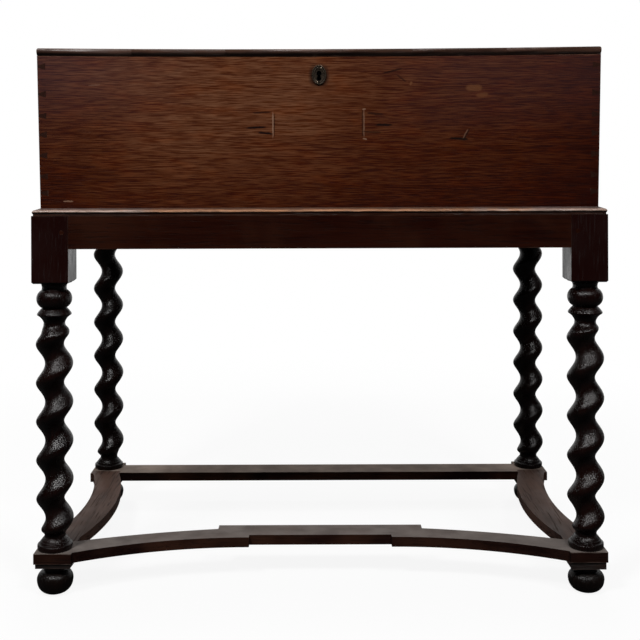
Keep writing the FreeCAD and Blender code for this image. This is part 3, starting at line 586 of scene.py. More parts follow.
@dataclass(frozen=True)
class FrontOak(OakFinish):
    """The front board's finish: golden left of the middle, redder low down, darker to the right, and marked.

    Its darkening to the sides and low down is patina together with painted light, and a painted sheen lies on its
    upper sides.
    """

    tones: tuple[tuple[float, Colour], ...] = (
        (0.0, (0.004, 0.0005, 0.0003)), (0.14, (0.018, 0.0024, 0.0009)), (0.25, (0.033, 0.0050, 0.0011)),
        (0.34, (0.046, 0.0086, 0.0019)), (0.48, (0.065, 0.0168, 0.0047)), (0.69, (0.096, 0.0300, 0.0110)),
        (1.0, (0.135, 0.0540, 0.0250)),
    )
    tone_reach: float = 0.7153846
    # Patina together with painted light: lightest left of the middle, darker to the sides, most to the right, and low
    # down.
    across: tuple[tuple[float, float], ...] = (
        (-0.38, 0.52), (-0.30, 0.74), (-0.13, 1.00), (-0.02, 0.92), (0.05, 0.70), (0.20, 0.55), (0.30, 0.46),
        (0.38, 0.30),
    )
    upward: tuple[tuple[float, float], ...] = ((0.52, 0.48), (0.56, 0.67), (0.61, 0.84), (0.67, 0.96), (0.74, 1.0))
    drift_scale: Point = (11.0, 11.0, 30.0)
    drift_reach: float = 0.14
    contrast: tuple[tuple[str, float, float], ...] = (
        ("Fibre", 0.60, 1.42), ("Band", 0.88, 1.12), ("Pore", 1.04, 0.72),
    )
    warm: Colour = (1.25, 0.95, 0.60)
    warm_scale: Point = (20.0, 20.0, 60.0)
    warm_span: Span = (0.45, 0.70, 0.0, 0.5)
    # Painted sheen: a greyish reflection on the upper left and right of the board, and where it lies.
    painted_sheen: Colour = (0.070, 0.050, 0.062)
    painted_sheen_left: Span = (-0.36, -0.12, 0.20, 0.0)
    painted_sheen_right: Span = (0.02, 0.20, 0.0, 0.11)
    painted_sheen_up: Span = (0.60, 0.72)

    def colour(self, board: Board) -> Socket:
        """Colours the board by the depth of its patina and painted light, which its streaks vary.

        Args:
            board: The board.

        Returns:
            The wood's colour.
        """
        graph, where, seed = board.graph, board.where, board.seed
        x, _, z = graph.parts(where)
        drift = graph.minus(graph.noise(where, self.drift_scale, 3.0, 0.5, seed), 0.5)
        x = graph.plus(x, graph.times(drift, self.drift_reach))
        z = graph.plus(z, graph.times(drift, self.drift_reach / 2))
        # Patina and painted light falling off to the sides and low down.
        depth = graph.times(graph.curve(x, self.across), graph.curve(z, self.upward))
        depth = graph.times(depth, self.tone_reach)
        for name, low, high in self.contrast:
            depth = graph.times(depth, graph.span(board.figure.outputs[name], 0.0, 1.0, low, high))
        wood = graph.ramp(depth, self.tones)
        patches = graph.noise(where, self.warm_scale, 3.0, 0.4, seed)
        warmer = graph.blend(1.0, wood, self.warm, "MULTIPLY")
        wood = graph.blend(graph.span(patches, *self.warm_span), wood, warmer)
        # Painted sheen on the upper left and right of the board.
        sides = graph.plus(graph.span(x, *self.painted_sheen_left), graph.span(x, *self.painted_sheen_right))
        return graph.blend(graph.times(sides, graph.span(z, *self.painted_sheen_up)), wood, self.painted_sheen)

    def extra(self, board: Board, wood: Socket) -> Socket:
        """Adds the board's marks, with painted shade round and in the keyhole.

        Args:
            board: The board.
            wood: The colour so far.

        Returns:
            The colour with its marks.
        """
        graph, front = board.graph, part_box("box_front")[0].y
        for mark in FRONT_MARKS:
            placed = graph.group(
                EFFECTS.mark, Vector=board.where, Middle=(mark.x * MM, front, mark.z * MM),
                Turn=(0.0, math.radians(mark.turn), 0.0), Half_Length=mark.half_length * MM,
                Half_Width=mark.half_width * MM,
            )
            wood = graph.blend(graph.times(placed.outputs["Mask"], mark.strength), wood, mark.kind.value)
        return wood


@dataclass(frozen=True, kw_only=True)
class LegOak(BoardOak):
    """A leg's finish: a rail's colour on the square post and near-black wax on the turned length."""

    post: Colour = (0.0110, 0.0014, 0.0009)
    post_bottom: float = 0.4255
    post_share: float = 0.75
    post_planing: float = 0.75
    post_dulling: float = 0.05
    shoulder: tuple[float, float] = (-1.0 * MM, 4.0 * MM)

    def on_post(self, board: Board) -> Socket:
        """Gives one on the square post and nought below it."""
        low, high = (self.post_bottom + edge for edge in self.shoulder)
        return board.graph.span(board.graph.parts(board.where)[2], low, high)

    def extra(self, board: Board, wood: Socket) -> Socket:
        """Lightens and reddens the square post."""
        return board.graph.blend(board.graph.times(self.on_post(board), self.post_share), wood, self.post)

    def bumps(self, board: Board, height: Socket) -> Socket:
        """Planes the square post smoother than the carved length."""
        planed = board.graph.times(self.on_post(board), self.post_planing)
        return board.graph.times(height, board.graph.minus(1.0, planed))

    def gloss(self, board: Board, rough: Socket) -> Socket:
        """Dulls the square post."""
        dulled = board.graph.times(self.on_post(board), self.post_dulling)
        return board.graph.math("ADD", rough, dulled, clamp=True)


@dataclass(frozen=True, kw_only=True)
class LidOak(BoardOak):
    """The lid's finish: painted shade darkens its edge near the box; its edges above are light with wear and a
    painted highlight.
    """

    foot: Span = (3.72 * MM, 8.06 * MM, 0.85, 0.0)
    foot_shade_colour: Colour = (0.006, 0.0025, 0.0016)
    foot_scale: float = 45.0
    foot_wobble: float = 4.0 * MM

    def extra(self, board: Board, wood: Socket) -> Socket:
        """Darkens the lower part of the edge with painted shade.

        Args:
            board: The board.
            wood: The colour so far.

        Returns:
            The colour with painted shade at the foot.
        """
        graph = board.graph
        height = graph.minus(graph.parts(board.where)[2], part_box("lid_board")[0].z)
        height = graph.plus(height, graph.wobble(board.where, self.foot_scale, self.foot_wobble))
        # Painted shade on the lower part of the lid's edge, near the box.
        return graph.blend(graph.span(height, *self.foot), wood, self.foot_shade_colour)


@dataclass(frozen=True)
class MouldingOak(OakFinish):
    """The moulding's finish: a painted highlight on the nose, over painted shade in the quirk and a thin fillet."""

    # Painted light and shade by height: a dark quirk low down and a bright nose above it.
    profile_light_and_shade: tuple[tuple[float, Colour], ...] = (
        (0.0, (0.020, 0.008, 0.005)), (0.20, (0.035, 0.014, 0.010)), (0.30, (0.004, 0.0015, 0.001)),
        (0.44, (0.016, 0.007, 0.005)), (0.56, (0.34, 0.23, 0.18)), (0.72, (0.30, 0.20, 0.16)),
        (0.84, (0.105, 0.066, 0.056)), (1.0, (0.052, 0.031, 0.028)),
    )
    profile_scale: float = 60.0
    profile_wobble: float = 0.22
    warm: Colour = (0.95, 0.66, 0.42)
    warm_reach: Span = (0.18, 0.30, 1.0, 0.0)
    warm_scale: float = 30.0
    warm_wobble: float = 0.5
    contrast: tuple[tuple[str, float, float], ...] = (("Fibre", 0.72, 1.25), ("Pore", 1.0, 0.6))

    def colour(self, board: Board) -> Socket:
        """Colours the strip by its height, which paints a highlight on the nose and shade in the quirk, with warm
        stretches along it.

        Args:
            board: The strip.

        Returns:
            The wood's colour.
        """
        graph, where, seed = board.graph, board.where, board.seed
        low, high = (corner.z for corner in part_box("moulding_front"))
        height = graph.math("DIVIDE", graph.minus(graph.parts(where)[2], low), high - low)
        height = graph.plus(height, graph.wobble(where, self.profile_scale, self.profile_wobble, seed=seed))
        wood = graph.ramp(height, self.profile_light_and_shade)
        along = graph.plus(graph.math("ABSOLUTE", graph.parts(where)[0]),
                           graph.wobble(where, self.warm_scale, self.warm_wobble, seed=seed))
        warmer = graph.blend(1.0, wood, self.warm, "MULTIPLY")
        wood = graph.blend(graph.span(along, *self.warm_reach), wood, warmer)
        for name, dark, bright in self.contrast:
            wood = graph.scaled(wood, graph.span(board.figure.outputs[name], 0.0, 1.0, dark, bright))
        return wood


@dataclass(frozen=True)
class MetalFinish:
    """One finish of old metal: bright and dull in spots, with a painted highlight on the faces that look up."""

    name: str
    bright: Colour
    dull: Colour
    roughness: float = 0.42
    metallic: float = 0.9
    grain_size: float = 260.0
    wear_and_highlight: Colour = (0.30, 0.25, 0.19)
    highlight_share: float = 0.0
    highlight_span: Span = (0.15, 0.60)
    spot_span: Span = (0.38, 0.66)
    sheen_span: Span = (0.3, 0.7)
    polish: float = 0.1
    dulling: float = 0.2
    relief: float = 0.12 * MM
    relief_scale: float = 780.0

    def material(self, node: str, seed: float) -> Material:
        """Builds the finish for one piece.

        Args:
            node: The CAD node or the piece that it goes on.
            seed: Which piece it is.

        Returns:
            The material.
        """
        made, graph, shader, coordinates = new_material(f"{self.name}_{node}")
        where = coordinates["Object"]
        spots = graph.noise(where, self.grain_size, 4.0, 0.4, seed)
        metal = graph.blend(graph.span(spots, *self.spot_span), self.bright, self.dull)
        # Painted highlight on the faces that look up.
        up = graph.span(graph.parts(coordinates["Normal"])[2], *self.highlight_span, 0.0, self.highlight_share)
        graph.fill(shader.inputs, {
            "Base Color": graph.blend(up, metal, self.wear_and_highlight),
            "Roughness": graph.span(spots, *self.sheen_span, self.roughness - self.polish,
                                    self.roughness + self.dulling),
            "Normal": graph.bump(graph.noise(where, self.relief_scale, 3.0, seed=seed), self.relief),
            "Metallic": self.metallic,
        })
        return made


def dress(node: str, material: Material) -> None:
    """Puts a material on a CAD node's slots.

    Args:
        node: The node's name.
        material: What it gets.
    """
    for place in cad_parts[node].material_slots:
        place.material = material
    log.info("dressed %s with %s", node, material.name)


BOX_OAK = FrontOak("box_oak", roughness=0.50, specular=0.06, worn=(0.12, 0.055, 0.035), worn_width=2.0 * MM,
                   worn_share=0.8, fineness=1.25)
END_OAK = BoardOak(
    "end_oak", dark=(0.024, 0.0052, 0.0022), mid=(0.050, 0.0135, 0.0058), light=(0.082, 0.028, 0.013),
    roughness=0.50, specular=0.10, end_share=0.80,
)
# The lid's light worn colour stands for wear and for a painted highlight along its rounded top edge.
LID_OAK = LidOak(
    "lid_oak", dark=(0.015, 0.0050, 0.0028), mid=(0.044, 0.018, 0.011), light=(0.090, 0.046, 0.031),
    worn=(0.20, 0.140, 0.105), worn_width=3.0 * MM, worn_share=0.8, dust_and_light_share=0.16,
    dust_and_light_colour=(0.09, 0.062, 0.048), roughness=0.40, specular=0.3, relief=0.14 * MM,
)
BOTTOM_OAK = BoardOak(
    "bottom_oak", dark=(0.10, 0.062, 0.034), mid=(0.19, 0.125, 0.074), light=(0.26, 0.18, 0.11), roughness=0.75,
    specular=0.25, tint_share=0.1,
)
RAIL_OAK = BoardOak(
    "rail_oak", dark=(0.0085, 0.0013, 0.0006), mid=(0.0155, 0.0028, 0.0012), light=(0.024, 0.0056, 0.0026),
    worn=(0.05, 0.026, 0.018), roughness=0.44, specular=0.04, tint_share=0.1,
)
MOULDING_OAK = MouldingOak("moulding_oak", worn_share=0.0, dust_and_light_share=0.1, roughness=0.36, specular=0.3)
FRONT_STRETCHER_OAK = BoardOak(
    "front_stretcher_oak", dark=(0.0045, 0.0011, 0.0007), mid=(0.0115, 0.0036, 0.0025), light=(0.027, 0.011, 0.008),
    worn=(0.12, 0.085, 0.07), dust_and_light_share=0.8, dust_and_light_colour=(0.205, 0.176, 0.160), roughness=0.50, specular=0.08,
    fineness=0.7,
)
# Painted shade: the back stretcher's oak is a darker version of the front stretcher's.
SHADED_BACK_STRETCHER_OAK = BoardOak(
    "back_stretcher_oak", dark=(0.0018, 0.0005, 0.0003), mid=(0.0040, 0.0012, 0.0008), light=(0.012, 0.0045, 0.0032),
    worn=(0.10, 0.07, 0.055), worn_width=1.2 * MM, dust_and_light_share=0.95, dust_and_light_colour=(0.248, 0.196, 0.164),
    roughness=0.50, specular=0.05, fineness=0.6,
)
SIDE_STRETCHER_OAK = BoardOak(
    "side_stretcher_oak", dark=(0.013, 0.0050, 0.0035), mid=(0.046, 0.0220, 0.0165), light=(0.120, 0.068, 0.052),
    worn=(0.13, 0.085, 0.065), dust_and_light_share=0.45, dust_and_light_colour=(0.085, 0.058, 0.046), roughness=0.48, specular=0.15,
    pore_depth=0.7, fineness=0.5,
)
TURNED_OAK = LegOak(
    "turned_oak", dark=(0.0014, 0.0003, 0.0002), mid=(0.0042, 0.0010, 0.0007), light=(0.0090, 0.0026, 0.0018),
    tint=(0.0128, 0.00288, 0.00176), tint_share=0.5, worn=(0.03, 0.018, 0.014), roughness=0.27, specular=0.25,
    relief=0.7 * MM,
)
# Painted shade: the back legs take a darker copy of the front legs' oak.
SHADED_BACK_TURNED_OAK = LegOak(
    "turned_oak_back", dark=(0.0010, 0.0003, 0.0002), mid=(0.0028, 0.0008, 0.0006), light=(0.0060, 0.0020, 0.0015),
    tint=(0.0112, 0.00288, 0.00176), tint_share=0.4, worn=(0.03, 0.018, 0.014), roughness=0.27, specular=0.21,
    relief=0.6 * MM, post_bottom=0.4705,
)
FOOT_OAK = BoardOak(
    "foot_oak", dark=(0.0014, 0.0007, 0.0005), mid=(0.0036, 0.0018, 0.0013), light=(0.0090, 0.0048, 0.0036),
    tint=(0.0096, 0.0048, 0.0032), worn=(0.03, 0.02, 0.017), roughness=0.34, specular=0.22, relief=0.6 * MM,
)
PAD_OAK = BoardOak(
    "pad_oak", dark=(0.0035, 0.0018, 0.0013), mid=(0.010, 0.0050, 0.0038), light=(0.018, 0.010, 0.008),
    worn=(0.06, 0.04, 0.033), roughness=0.45,
)
# The keyhole plate's brass carries a painted highlight on its faces that look up.
AGED_BRASS = MetalFinish("aged_brass", bright=(0.105, 0.080, 0.058), dull=(0.018, 0.013, 0.010), roughness=0.34,
                         highlight_share=0.9)
IRON = MetalFinish("iron", bright=(0.13, 0.118, 0.108), dull=(0.032, 0.023, 0.018), roughness=0.60, metallic=0.85)
SCREW_IRON = MetalFinish("screw_iron", bright=(0.26, 0.24, 0.22), dull=(0.06, 0.045, 0.035))
BRIGHT_BRASS = MetalFinish("hinge_brass", bright=(0.27, 0.19, 0.10), dull=(0.075, 0.048, 0.025), roughness=0.45)


class Facing(Enum):
    """The way a screw's head looks, as the turn that takes it there from looking up."""

    UP = (0.0, 0.0, 0.0)
    DOWN = (math.pi, 0.0, 0.0)
    BACK = (-math.pi / 2, 0.0, 0.0)


@dataclass(frozen=True)
class Bench:
    """The modelling tools, used on one piece at a time as by hand."""

    facing_up: float = 0.9
    merge: float = 0.001 * MM
    bevel_from: float = math.radians(30)
    smooth_below: float = math.radians(32)

    def open(self, name: str) -> Object:
        """Names the primitive that was just added and opens it for shaping.

        Args:
            name: The piece's name.

        Returns:
            The piece.
        """
        piece = bpy.context.object
        piece.name = name
        bpy.context.tool_settings.mesh_select_mode = (False, False, True)
        bpy.ops.object.mode_set(mode="EDIT")
        return piece

    def pick(self, test: Callable[[Vector], bool]) -> None:
        """Selects the open piece's faces by their normal.

        Args:
            test: Says of a face's normal whether it is wanted.
        """
        bpy.ops.mesh.select_all(action="DESELECT")
        bpy.ops.object.mode_set(mode="OBJECT")
        for face in bpy.context.object.data.polygons:
            face.select = test(face.normal)
        bpy.ops.object.mode_set(mode="EDIT")

    def push(self, distance: float) -> None:
        """Extrudes the selected faces along Z."""
        bpy.ops.mesh.extrude_region_move(TRANSFORM_OT_translate={"value": (0.0, 0.0, distance)})

    def close(self) -> None:
        """Merges doubles, turns the faces outwards and ends the shaping."""
        bpy.ops.mesh.select_all(action="SELECT")
        bpy.ops.mesh.remove_doubles(threshold=self.merge)
        bpy.ops.mesh.normals_make_consistent(inside=False)
        bpy.ops.object.mode_set(mode="OBJECT")

    def soften(self, piece: Object, width: float) -> None:
        """Rounds the piece's sharp edges.

        Args:
            piece: The piece.
            width: How wide the rounding is.
        """
        bevel = piece.modifiers.new("rounding", "BEVEL")
        bevel.width = width
        bevel.segments = 2
        bevel.limit_method = "ANGLE"
        bevel.angle_limit = self.bevel_from
        bpy.ops.object.modifier_apply(modifier=bevel.name)

    def cut(self, piece: Object, cutter: Object) -> None:
        """Takes one solid out of another and throws the cutter away.

        Args:
            piece: What is cut.
            cutter: What cuts it.
        """
        self.choose(piece)
        difference = piece.modifiers.new("cut", "BOOLEAN")
        difference.operation = "DIFFERENCE"
        difference.solver = "EXACT"
        difference.object = cutter
        bpy.ops.object.modifier_apply(modifier=difference.name)
        bpy.data.objects.remove(cutter)

    def choose(self, piece: Object) -> None:
        """Makes one piece the only one selected.

        Args:
            piece: The piece.
        """
        bpy.ops.object.select_all(action="DESELECT")
        piece.select_set(True)
        bpy.context.view_layer.objects.active = piece

    def settle(self, piece: Object, place: Point, turn: Point) -> None:
        """Turns and moves a piece, and keeps its place in its mesh.

        Args:
            piece: The piece.
            place: Where its origin goes.
            turn: The turn about X, Y and Z.
        """
        self.choose(piece)
        piece.rotation_euler = turn
        piece.location = place
        bpy.ops.object.transform_apply(location=True, rotation=True, scale=True)
        bpy.ops.object.shade_smooth_by_angle(angle=self.smooth_below)


BENCH = Bench()


@dataclass
class ScrewSet:
    """The slotted screws that one CAD node stands for."""

    node: str
    body: str
    facing: Facing
    head: float = 2.5 * MM
    shank: float = 1.2 * MM
    sink: float = 1.3 * MM
    length: float = 8.0 * MM
    count: int = 1
    spacing: float = 17.0 * MM
    slot_width: float = 0.6 * MM
    slot_depth: float = 0.7 * MM
    rounding: float = 0.08 * MM
    rim_share: float = 0.07
    point_share: float = 0.2
    tip_share: float = 0.3
    sides: int = 40

    def screw(self) -> Object:
        """Models one screw, its slotted head looking up at the origin.

        Returns:
            The screw.
        """
        bpy.ops.object.select_all(action="DESELECT")
        bpy.ops.mesh.primitive_cylinder_add(
            vertices=self.sides, radius=self.head, depth=self.sink, location=(0.0, 0.0, -self.sink / 2),
        )
        screw = BENCH.open(self.node + "_slotted")
        BENCH.pick(lambda normal: normal.z < -BENCH.facing_up)
        shrink = self.shank / self.head
        bpy.ops.transform.resize(value=(shrink, shrink, 1.0), center_override=(0.0, 0.0, -self.sink))
        BENCH.push((self.sink - self.length) * (1.0 - self.point_share))
        BENCH.push((self.sink - self.length) * self.point_share)
        tip = self.tip_share
        bpy.ops.transform.resize(value=(tip, tip, 1.0), center_override=(0.0, 0.0, -self.length))
        BENCH.pick(lambda normal: normal.z > BENCH.facing_up)
        bpy.ops.mesh.inset(thickness=self.head * self.rim_share)
        BENCH.close()
        BENCH.soften(screw, self.rounding)
        bpy.ops.mesh.primitive_cube_add(size=1.0, location=(0.0, 0.0, 0.0))
        blade = BENCH.open("slot")
        bpy.ops.transform.resize(value=(self.slot_width, self.head * 3, self.slot_depth * 2))
        BENCH.close()
        BENCH.cut(screw, blade)
        return screw

    def heads(self) -> list[Point]:
        """Works out where the heads are from the node's box.

        Returns:
            The middles of the heads' faces.
        """
        low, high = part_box(self.node)
        steps = [high.x - self.head - step * self.spacing for step in range(self.count)]
        columns = [side * step for side in (-1, 1) for step in steps]
        if self.facing is Facing.BACK:
            return [(x, high.y, z) for x in columns for z in (low.z + self.head, high.z - self.head)]
        level = high.z if self.facing is Facing.UP else low.z
        return [(x, (low.y + high.y) / 2, level) for x in columns]

    def build(self, finish: MetalFinish) -> None:
        """Models the screw, copies it to every place and joins the copies in one piece.

        Args:
            finish: The metal's finish.
        """
        first = self.screw()
        dice = random.Random(self.node)
        copies = []
        for place in self.heads():
            copy = first.copy()
            copy.data = first.data.copy()
            bpy.context.collection.objects.link(copy)
            BENCH.settle(copy, (0.0, 0.0, 0.0), (0.0, 0.0, dice.uniform(0.0, math.pi)))
            BENCH.settle(copy, place, self.facing.value)
            copies.append(copy)
        bpy.data.objects.remove(first)
        BENCH.choose(copies[0])
        for copy in copies:
            copy.select_set(True)
        bpy.ops.object.join()
        piece = bpy.context.object
        piece.name = self.node + "_slotted"
        piece.data.materials.append(finish.material(piece.name, float(len(copies))))
        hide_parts(self.node)
        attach(piece, self.body)
        log.info("modelled %s, %d screws", piece.name, len(copies))


@dataclass
class KeyholePlate:
    """The oval brass plate: a rounded rim, a dished field and a raised lip round a wide keyhole."""

    rim: float = 1.5 * MM
    dish: float = 0.7 * MM
    lip_inset: float = 1.3 * MM
    lip_rise: float = 0.3 * MM
    rounding: float = 0.25 * MM
    keyhole_top: float = 2.0 * MM
    keyhole_drop: float = 7.2 * MM
    top_radius: float = 3.5 * MM
    foot_radius: float = 3.1 * MM
    waist: float = 4.2 * MM
    cutter_depth: float = 20.0 * MM
    sides: int = 96
    seed: float = 6.0

    def build(self, finish: MetalFinish) -> None:
        """Models the plate and puts it where the CAD plate is.

        Args:
            finish: The metal's finish.
        """
        low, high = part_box("escutcheon")
        size = high - low
        foot = self.keyhole_top - self.keyhole_drop
        bpy.ops.object.select_all(action="DESELECT")
        bpy.ops.mesh.primitive_cylinder_add(vertices=self.sides, radius=0.5, depth=1.0)
        plate = BENCH.open("keyhole_plate")
        bpy.ops.transform.resize(value=(size.x, size.z, size.y))
        BENCH.pick(lambda normal: normal.z > BENCH.facing_up)
        bpy.ops.mesh.inset(thickness=self.rim)
        BENCH.push(-self.dish)
        bpy.ops.mesh.inset(thickness=self.lip_inset)
        BENCH.push(self.lip_rise)
        bpy.ops.mesh.inset(thickness=self.lip_inset / 2)
        BENCH.push(-self.lip_rise)
        BENCH.close()
        BENCH.soften(plate, self.rounding)
        for height, radius in ((self.keyhole_top, self.top_radius), (foot, self.foot_radius)):
            bpy.ops.mesh.primitive_cylinder_add(
                vertices=self.sides // 2, radius=radius, depth=self.cutter_depth, location=(0.0, height, 0.0),
            )
            BENCH.cut(plate, bpy.context.object)
        bpy.ops.mesh.primitive_cube_add(size=1.0)
        slot = BENCH.open("waist")
        bpy.ops.transform.resize(value=(self.waist, self.keyhole_drop, self.cutter_depth))
        bpy.ops.transform.translate(value=(0.0, (self.keyhole_top + foot) / 2, 0.0))
        BENCH.close()
        BENCH.cut(plate, slot)
        BENCH.settle(plate, tuple((low + high) / 2), (math.pi / 2, 0.0, 0.0))
        plate.data.materials.append(finish.material(plate.name, self.seed))
        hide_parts("escutcheon")
        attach(plate, "box")
        log.info("modelled %s", plate.name)


@dataclass
class Stand:
    """The joined stand: rails, moulding, twisted legs, stretchers, pads and feet, all in the model's own shapes."""

    corners: tuple[str, ...] = ("front_left", "front_right", "back_left", "back_right")
    across: tuple[str, ...] = ("front", "back")
    along: tuple[str, ...] = ("left", "right")
    foot_seed: float = 4.0
    pad_seed: float = 8.0
    rail_seed: float = 8.5
    moulding_seed: float = 15.3
    stretcher_seed: float = 17.0
    peg_seed: float = 3.0

    def dress(self) -> None:
        """Finishes every piece of the stand."""
        for seed, corner in enumerate(self.corners, start=1):
            turned = SHADED_BACK_TURNED_OAK if corner.startswith("back") else TURNED_OAK
            dress("leg_" + corner, turned.material("leg_" + corner, Grain.ALONG_Z, seed))
            dress("foot_" + corner, FOOT_OAK.material("foot_" + corner, Grain.ALONG_Z, seed + self.foot_seed))
            dress("pad_" + corner, PAD_OAK.material("pad_" + corner, Grain.ALONG_X, seed + self.pad_seed))
        stretchers = {"front": FRONT_STRETCHER_OAK, "back": SHADED_BACK_STRETCHER_OAK}
        for sides, grain in ((self.across, Grain.ALONG_X), (self.along, Grain.ALONG_Y)):
            for number, side in enumerate(sides, start=1):
                for kind, finish, seed in (
                    ("rail_", RAIL_OAK, self.rail_seed), ("moulding_", MOULDING_OAK, self.moulding_seed),
                    ("stretcher_", stretchers.get(side, SIDE_STRETCHER_OAK), self.stretcher_seed),
                ):
                    dress(kind + side, finish.material(kind + side, grain, number + seed))
        dress("rail_pegs", RAIL_OAK.material("rail_pegs", Grain.ALONG_Z, self.peg_seed))


@dataclass
class Chest:
    """The box below its lid."""

    plate: KeyholePlate = field(default_factory=KeyholePlate)
    screws: tuple[ScrewSet, ...] = (
        ScrewSet("hinge_box_screws", "box", Facing.UP, count=3),
        ScrewSet("lock_screws", "box", Facing.BACK, head=2.2 * MM, shank=1.0 * MM, sink=0.75 * MM, length=6.0 * MM),
    )
    irons: tuple[str, ...] = ("bottom_nails", "lock_plate", "lock_cap", "key_pin", "lock_bolt")
    front_seed: float = 1.0
    back_seed: float = 2.0
    bottom_seed: float = 5.0
    pins_seed: float = 6.0
    iron_seed: float = 7.0

    def build(self) -> None:
        """Models the keyhole plate and the screws of the box."""
        self.plate.build(AGED_BRASS)
        for screws in self.screws:
            screws.build(SCREW_IRON)

    def dress(self) -> None:
        """Finishes the boards and the fittings of the box."""
        dress("box_front", BOX_OAK.material("box_front", Grain.ALONG_X, self.front_seed))
        dress("box_back", END_OAK.material("box_back", Grain.ALONG_X, self.back_seed))
        for seed, side in enumerate(("left", "right"), start=3):
            dress("box_end_" + side, END_OAK.material("box_end_" + side, Grain.ALONG_Y, seed))
            dress("hinge_box_leaf_" + side, BRIGHT_BRASS.material("hinge_box_leaf_" + side, seed))
            dress("hinge_pin_" + side, BRIGHT_BRASS.material("hinge_pin_" + side, seed + 2.0))
        dress("box_bottom", BOTTOM_OAK.material("box_bottom", Grain.ALONG_X, self.bottom_seed))
        dress("escutcheon_pins", AGED_BRASS.material("escutcheon_pins", self.pins_seed))
        for node in self.irons:
            dress(node, IRON.material(node, self.iron_seed))


@dataclass
class Lid:
    """The bowed lid with what is screwed to it."""

    screws: tuple[ScrewSet, ...] = (
        ScrewSet("hinge_lid_screws", "lid", Facing.DOWN, count=3),
        ScrewSet("link_screws", "lid", Facing.DOWN, head=2.2 * MM, shank=1.0 * MM, sink=0.75 * MM, length=6.0 * MM),
    )
    board_seed: float = 8.0
    leaf_seed: float = 9.0
    link_seed: float = 10.0

    def build(self) -> None:
        """Models the screws of the lid."""
        for screws in self.screws:
            screws.build(SCREW_IRON)

    def dress(self) -> None:
        """Finishes the lid and its fittings."""
        dress("lid_board", LID_OAK.material("lid_board", Grain.ALONG_X, self.board_seed))
        for side in ("left", "right"):
            dress("hinge_lid_leaf_" + side, BRIGHT_BRASS.material("hinge_lid_leaf_" + side, self.leaf_seed))
        dress("link_plate", IRON.material("link_plate", self.link_seed))


@dataclass(frozen=True)
class Lamp:
    """One soft square lamp, with its place, what it points at, its side in metres and its power in watts."""

    name: str
    place: Point
    aim: Point
    side: float
    power: float

    def hang(self) -> None:
        """Hangs the lamp and points it."""
        bpy.ops.object.light_add(type="AREA", location=self.place)
        lamp = bpy.context.object
        lamp.name = self.name
        lamp.data.size = self.side
        lamp.data.energy = self.power
        lamp.rotation_euler = (Vector(self.aim) - Vector(self.place)).to_track_quat("-Z", "Y").to_euler()


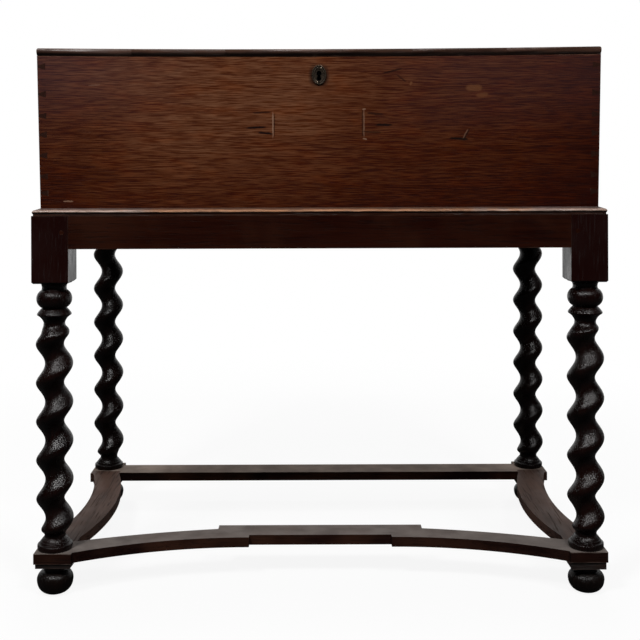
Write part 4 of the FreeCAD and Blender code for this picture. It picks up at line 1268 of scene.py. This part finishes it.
@dataclass
class Studio:
    """The floor, the light and the camera."""

    picture_side: float = 640.0
    focal_pixels: float = 1036.0
    horizon_row: float = 163.0
    camera_x: float = -0.011
    camera_shift: float = 0.0137
    camera_roll: float = math.radians(0.2)
    camera_height: float = 0.588
    camera_to_posts: float = 1.400
    sensor_width: float = 36.0
    floor_side: float = 14.0
    floor_tone: float = 0.86
    floor_bounce: float = 0.03
    floor_roughness: float = 0.9
    floor_behind: Span = (0.9, 2.4)
    floor_glow: Span = (0.5, 1.6, 0.90, 1.0)
    room_light: float = 0.008
    room_behind: Span = (0.45, 0.92)
    room_overhead: Span = (0.35, 0.9, 0.0, 0.12)
    back_light: float = 0.5
    lamps: tuple[Lamp, ...] = (
        Lamp("front_lamp_left", (-1.05, -1.70, 2.40), (0.0, -0.1, 0.45), 0.50, 49.0),
        Lamp("front_lamp_right", (0.85, -1.80, 2.40), (0.0, -0.1, 0.45), 0.45, 32.0),
        Lamp("top_lamp", (0.0, 0.5, 2.6), (0.0, 0.0, 0.4), 1.2, 36.0),
    )

    def camera(self) -> None:
        """Sets an upright camera with the photograph's slight roll and its shift."""
        bpy.ops.object.camera_add(
            location=(self.camera_x, cad_box[0].y - self.camera_to_posts, self.camera_height),
            rotation=(math.pi / 2, self.camera_roll, 0.0),
        )
        camera = bpy.context.object
        camera.data.sensor_width = self.sensor_width
        camera.data.lens = self.sensor_width * self.focal_pixels / self.picture_side
        camera.data.shift_x = self.camera_shift
        camera.data.shift_y = (self.horizon_row - self.picture_side / 2) / self.picture_side
        bpy.context.scene.camera = camera

    def seen(self, graph: Graph, behind: Socket) -> Socket:
        """Tells the rays that see plain white: the camera's, and the mirrored ones that look behind the stand.

        Args:
            graph: The tree of the floor or the room.
            behind: How far behind the stand a ray looks, from nought to one.

        Returns:
            One for such a ray and nought for others.
        """
        rays = graph.add("ShaderNodeLightPath").outputs
        mirrored = graph.math("MAXIMUM", rays["Is Glossy Ray"], rays["Is Transmission Ray"])
        return graph.math("MAXIMUM", rays["Is Camera Ray"], graph.times(mirrored, behind))

    def floor(self) -> None:
        """Lays a floor that is white to the eye and, behind the stand, in its gloss, and keeps the soft shadow."""
        bpy.ops.object.select_all(action="DESELECT")
        bpy.ops.mesh.primitive_plane_add(size=self.floor_side)
        floor = bpy.context.object
        floor.name = "floor"
        made, graph, shader, coordinates = new_material("white_floor")
        where = coordinates["Object"]
        camera_ray = graph.add("ShaderNodeLightPath").outputs["Is Camera Ray"]
        tone = graph.blend(camera_ray, [self.floor_bounce] * 3, [self.floor_tone] * 3)
        graph.fill(shader.inputs, {"Roughness": self.floor_roughness, "Base Color": tone})
        seen = self.seen(graph, graph.span(graph.parts(where)[1], *self.floor_behind))
        share = graph.span(graph.vector("LENGTH", where), *self.floor_glow)
        glow = graph.add("ShaderNodeEmission").outputs[0]
        mixed = graph.add("ShaderNodeMixShader", (graph.times(seen, share), shader.outputs[0], glow))
        graph.feed(made.node_tree.nodes["Material Output"].inputs["Surface"], mixed.outputs[0])
        floor.data.materials.append(made)

    def world(self) -> None:
        """Shows a white background, and lights the piece from a room that is dim in front and bright behind."""
        world = bpy.data.worlds.new("studio")
        bpy.context.scene.world = world
        world.use_nodes = True
        graph = Graph(world.node_tree)
        plain = world.node_tree.nodes["Background"]
        _, deep, high = graph.parts(graph.add("ShaderNodeTexCoord").outputs["Generated"])
        behind = graph.span(deep, *self.room_behind)
        overhead = graph.span(high, *self.room_overhead)
        level = graph.plus(graph.plus(self.room_light, overhead), graph.times(behind, self.back_light))
        strength = graph.add("ShaderNodeMix", {0: self.seen(graph, behind), 2: level, 3: 1.0}, data_type="FLOAT")
        graph.fill(plain.inputs, {"Color": (1.0, 1.0, 1.0), "Strength": strength.outputs[0]})

    def build(self) -> None:
        """Sets up the whole studio."""
        self.floor()
        self.world()
        for lamp in self.lamps:
            lamp.hang()
        self.camera()
        bpy.context.scene.view_settings.view_transform = "Standard"


def main() -> None:
    """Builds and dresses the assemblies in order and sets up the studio."""
    logging.basicConfig(level=logging.INFO, format="%(name)s: %(message)s")
    Stand().dress()
    for assembly in (Chest(), Lid()):
        assembly.build()
        assembly.dress()
    Studio().build()


if __name__ == "__main__":
    main()
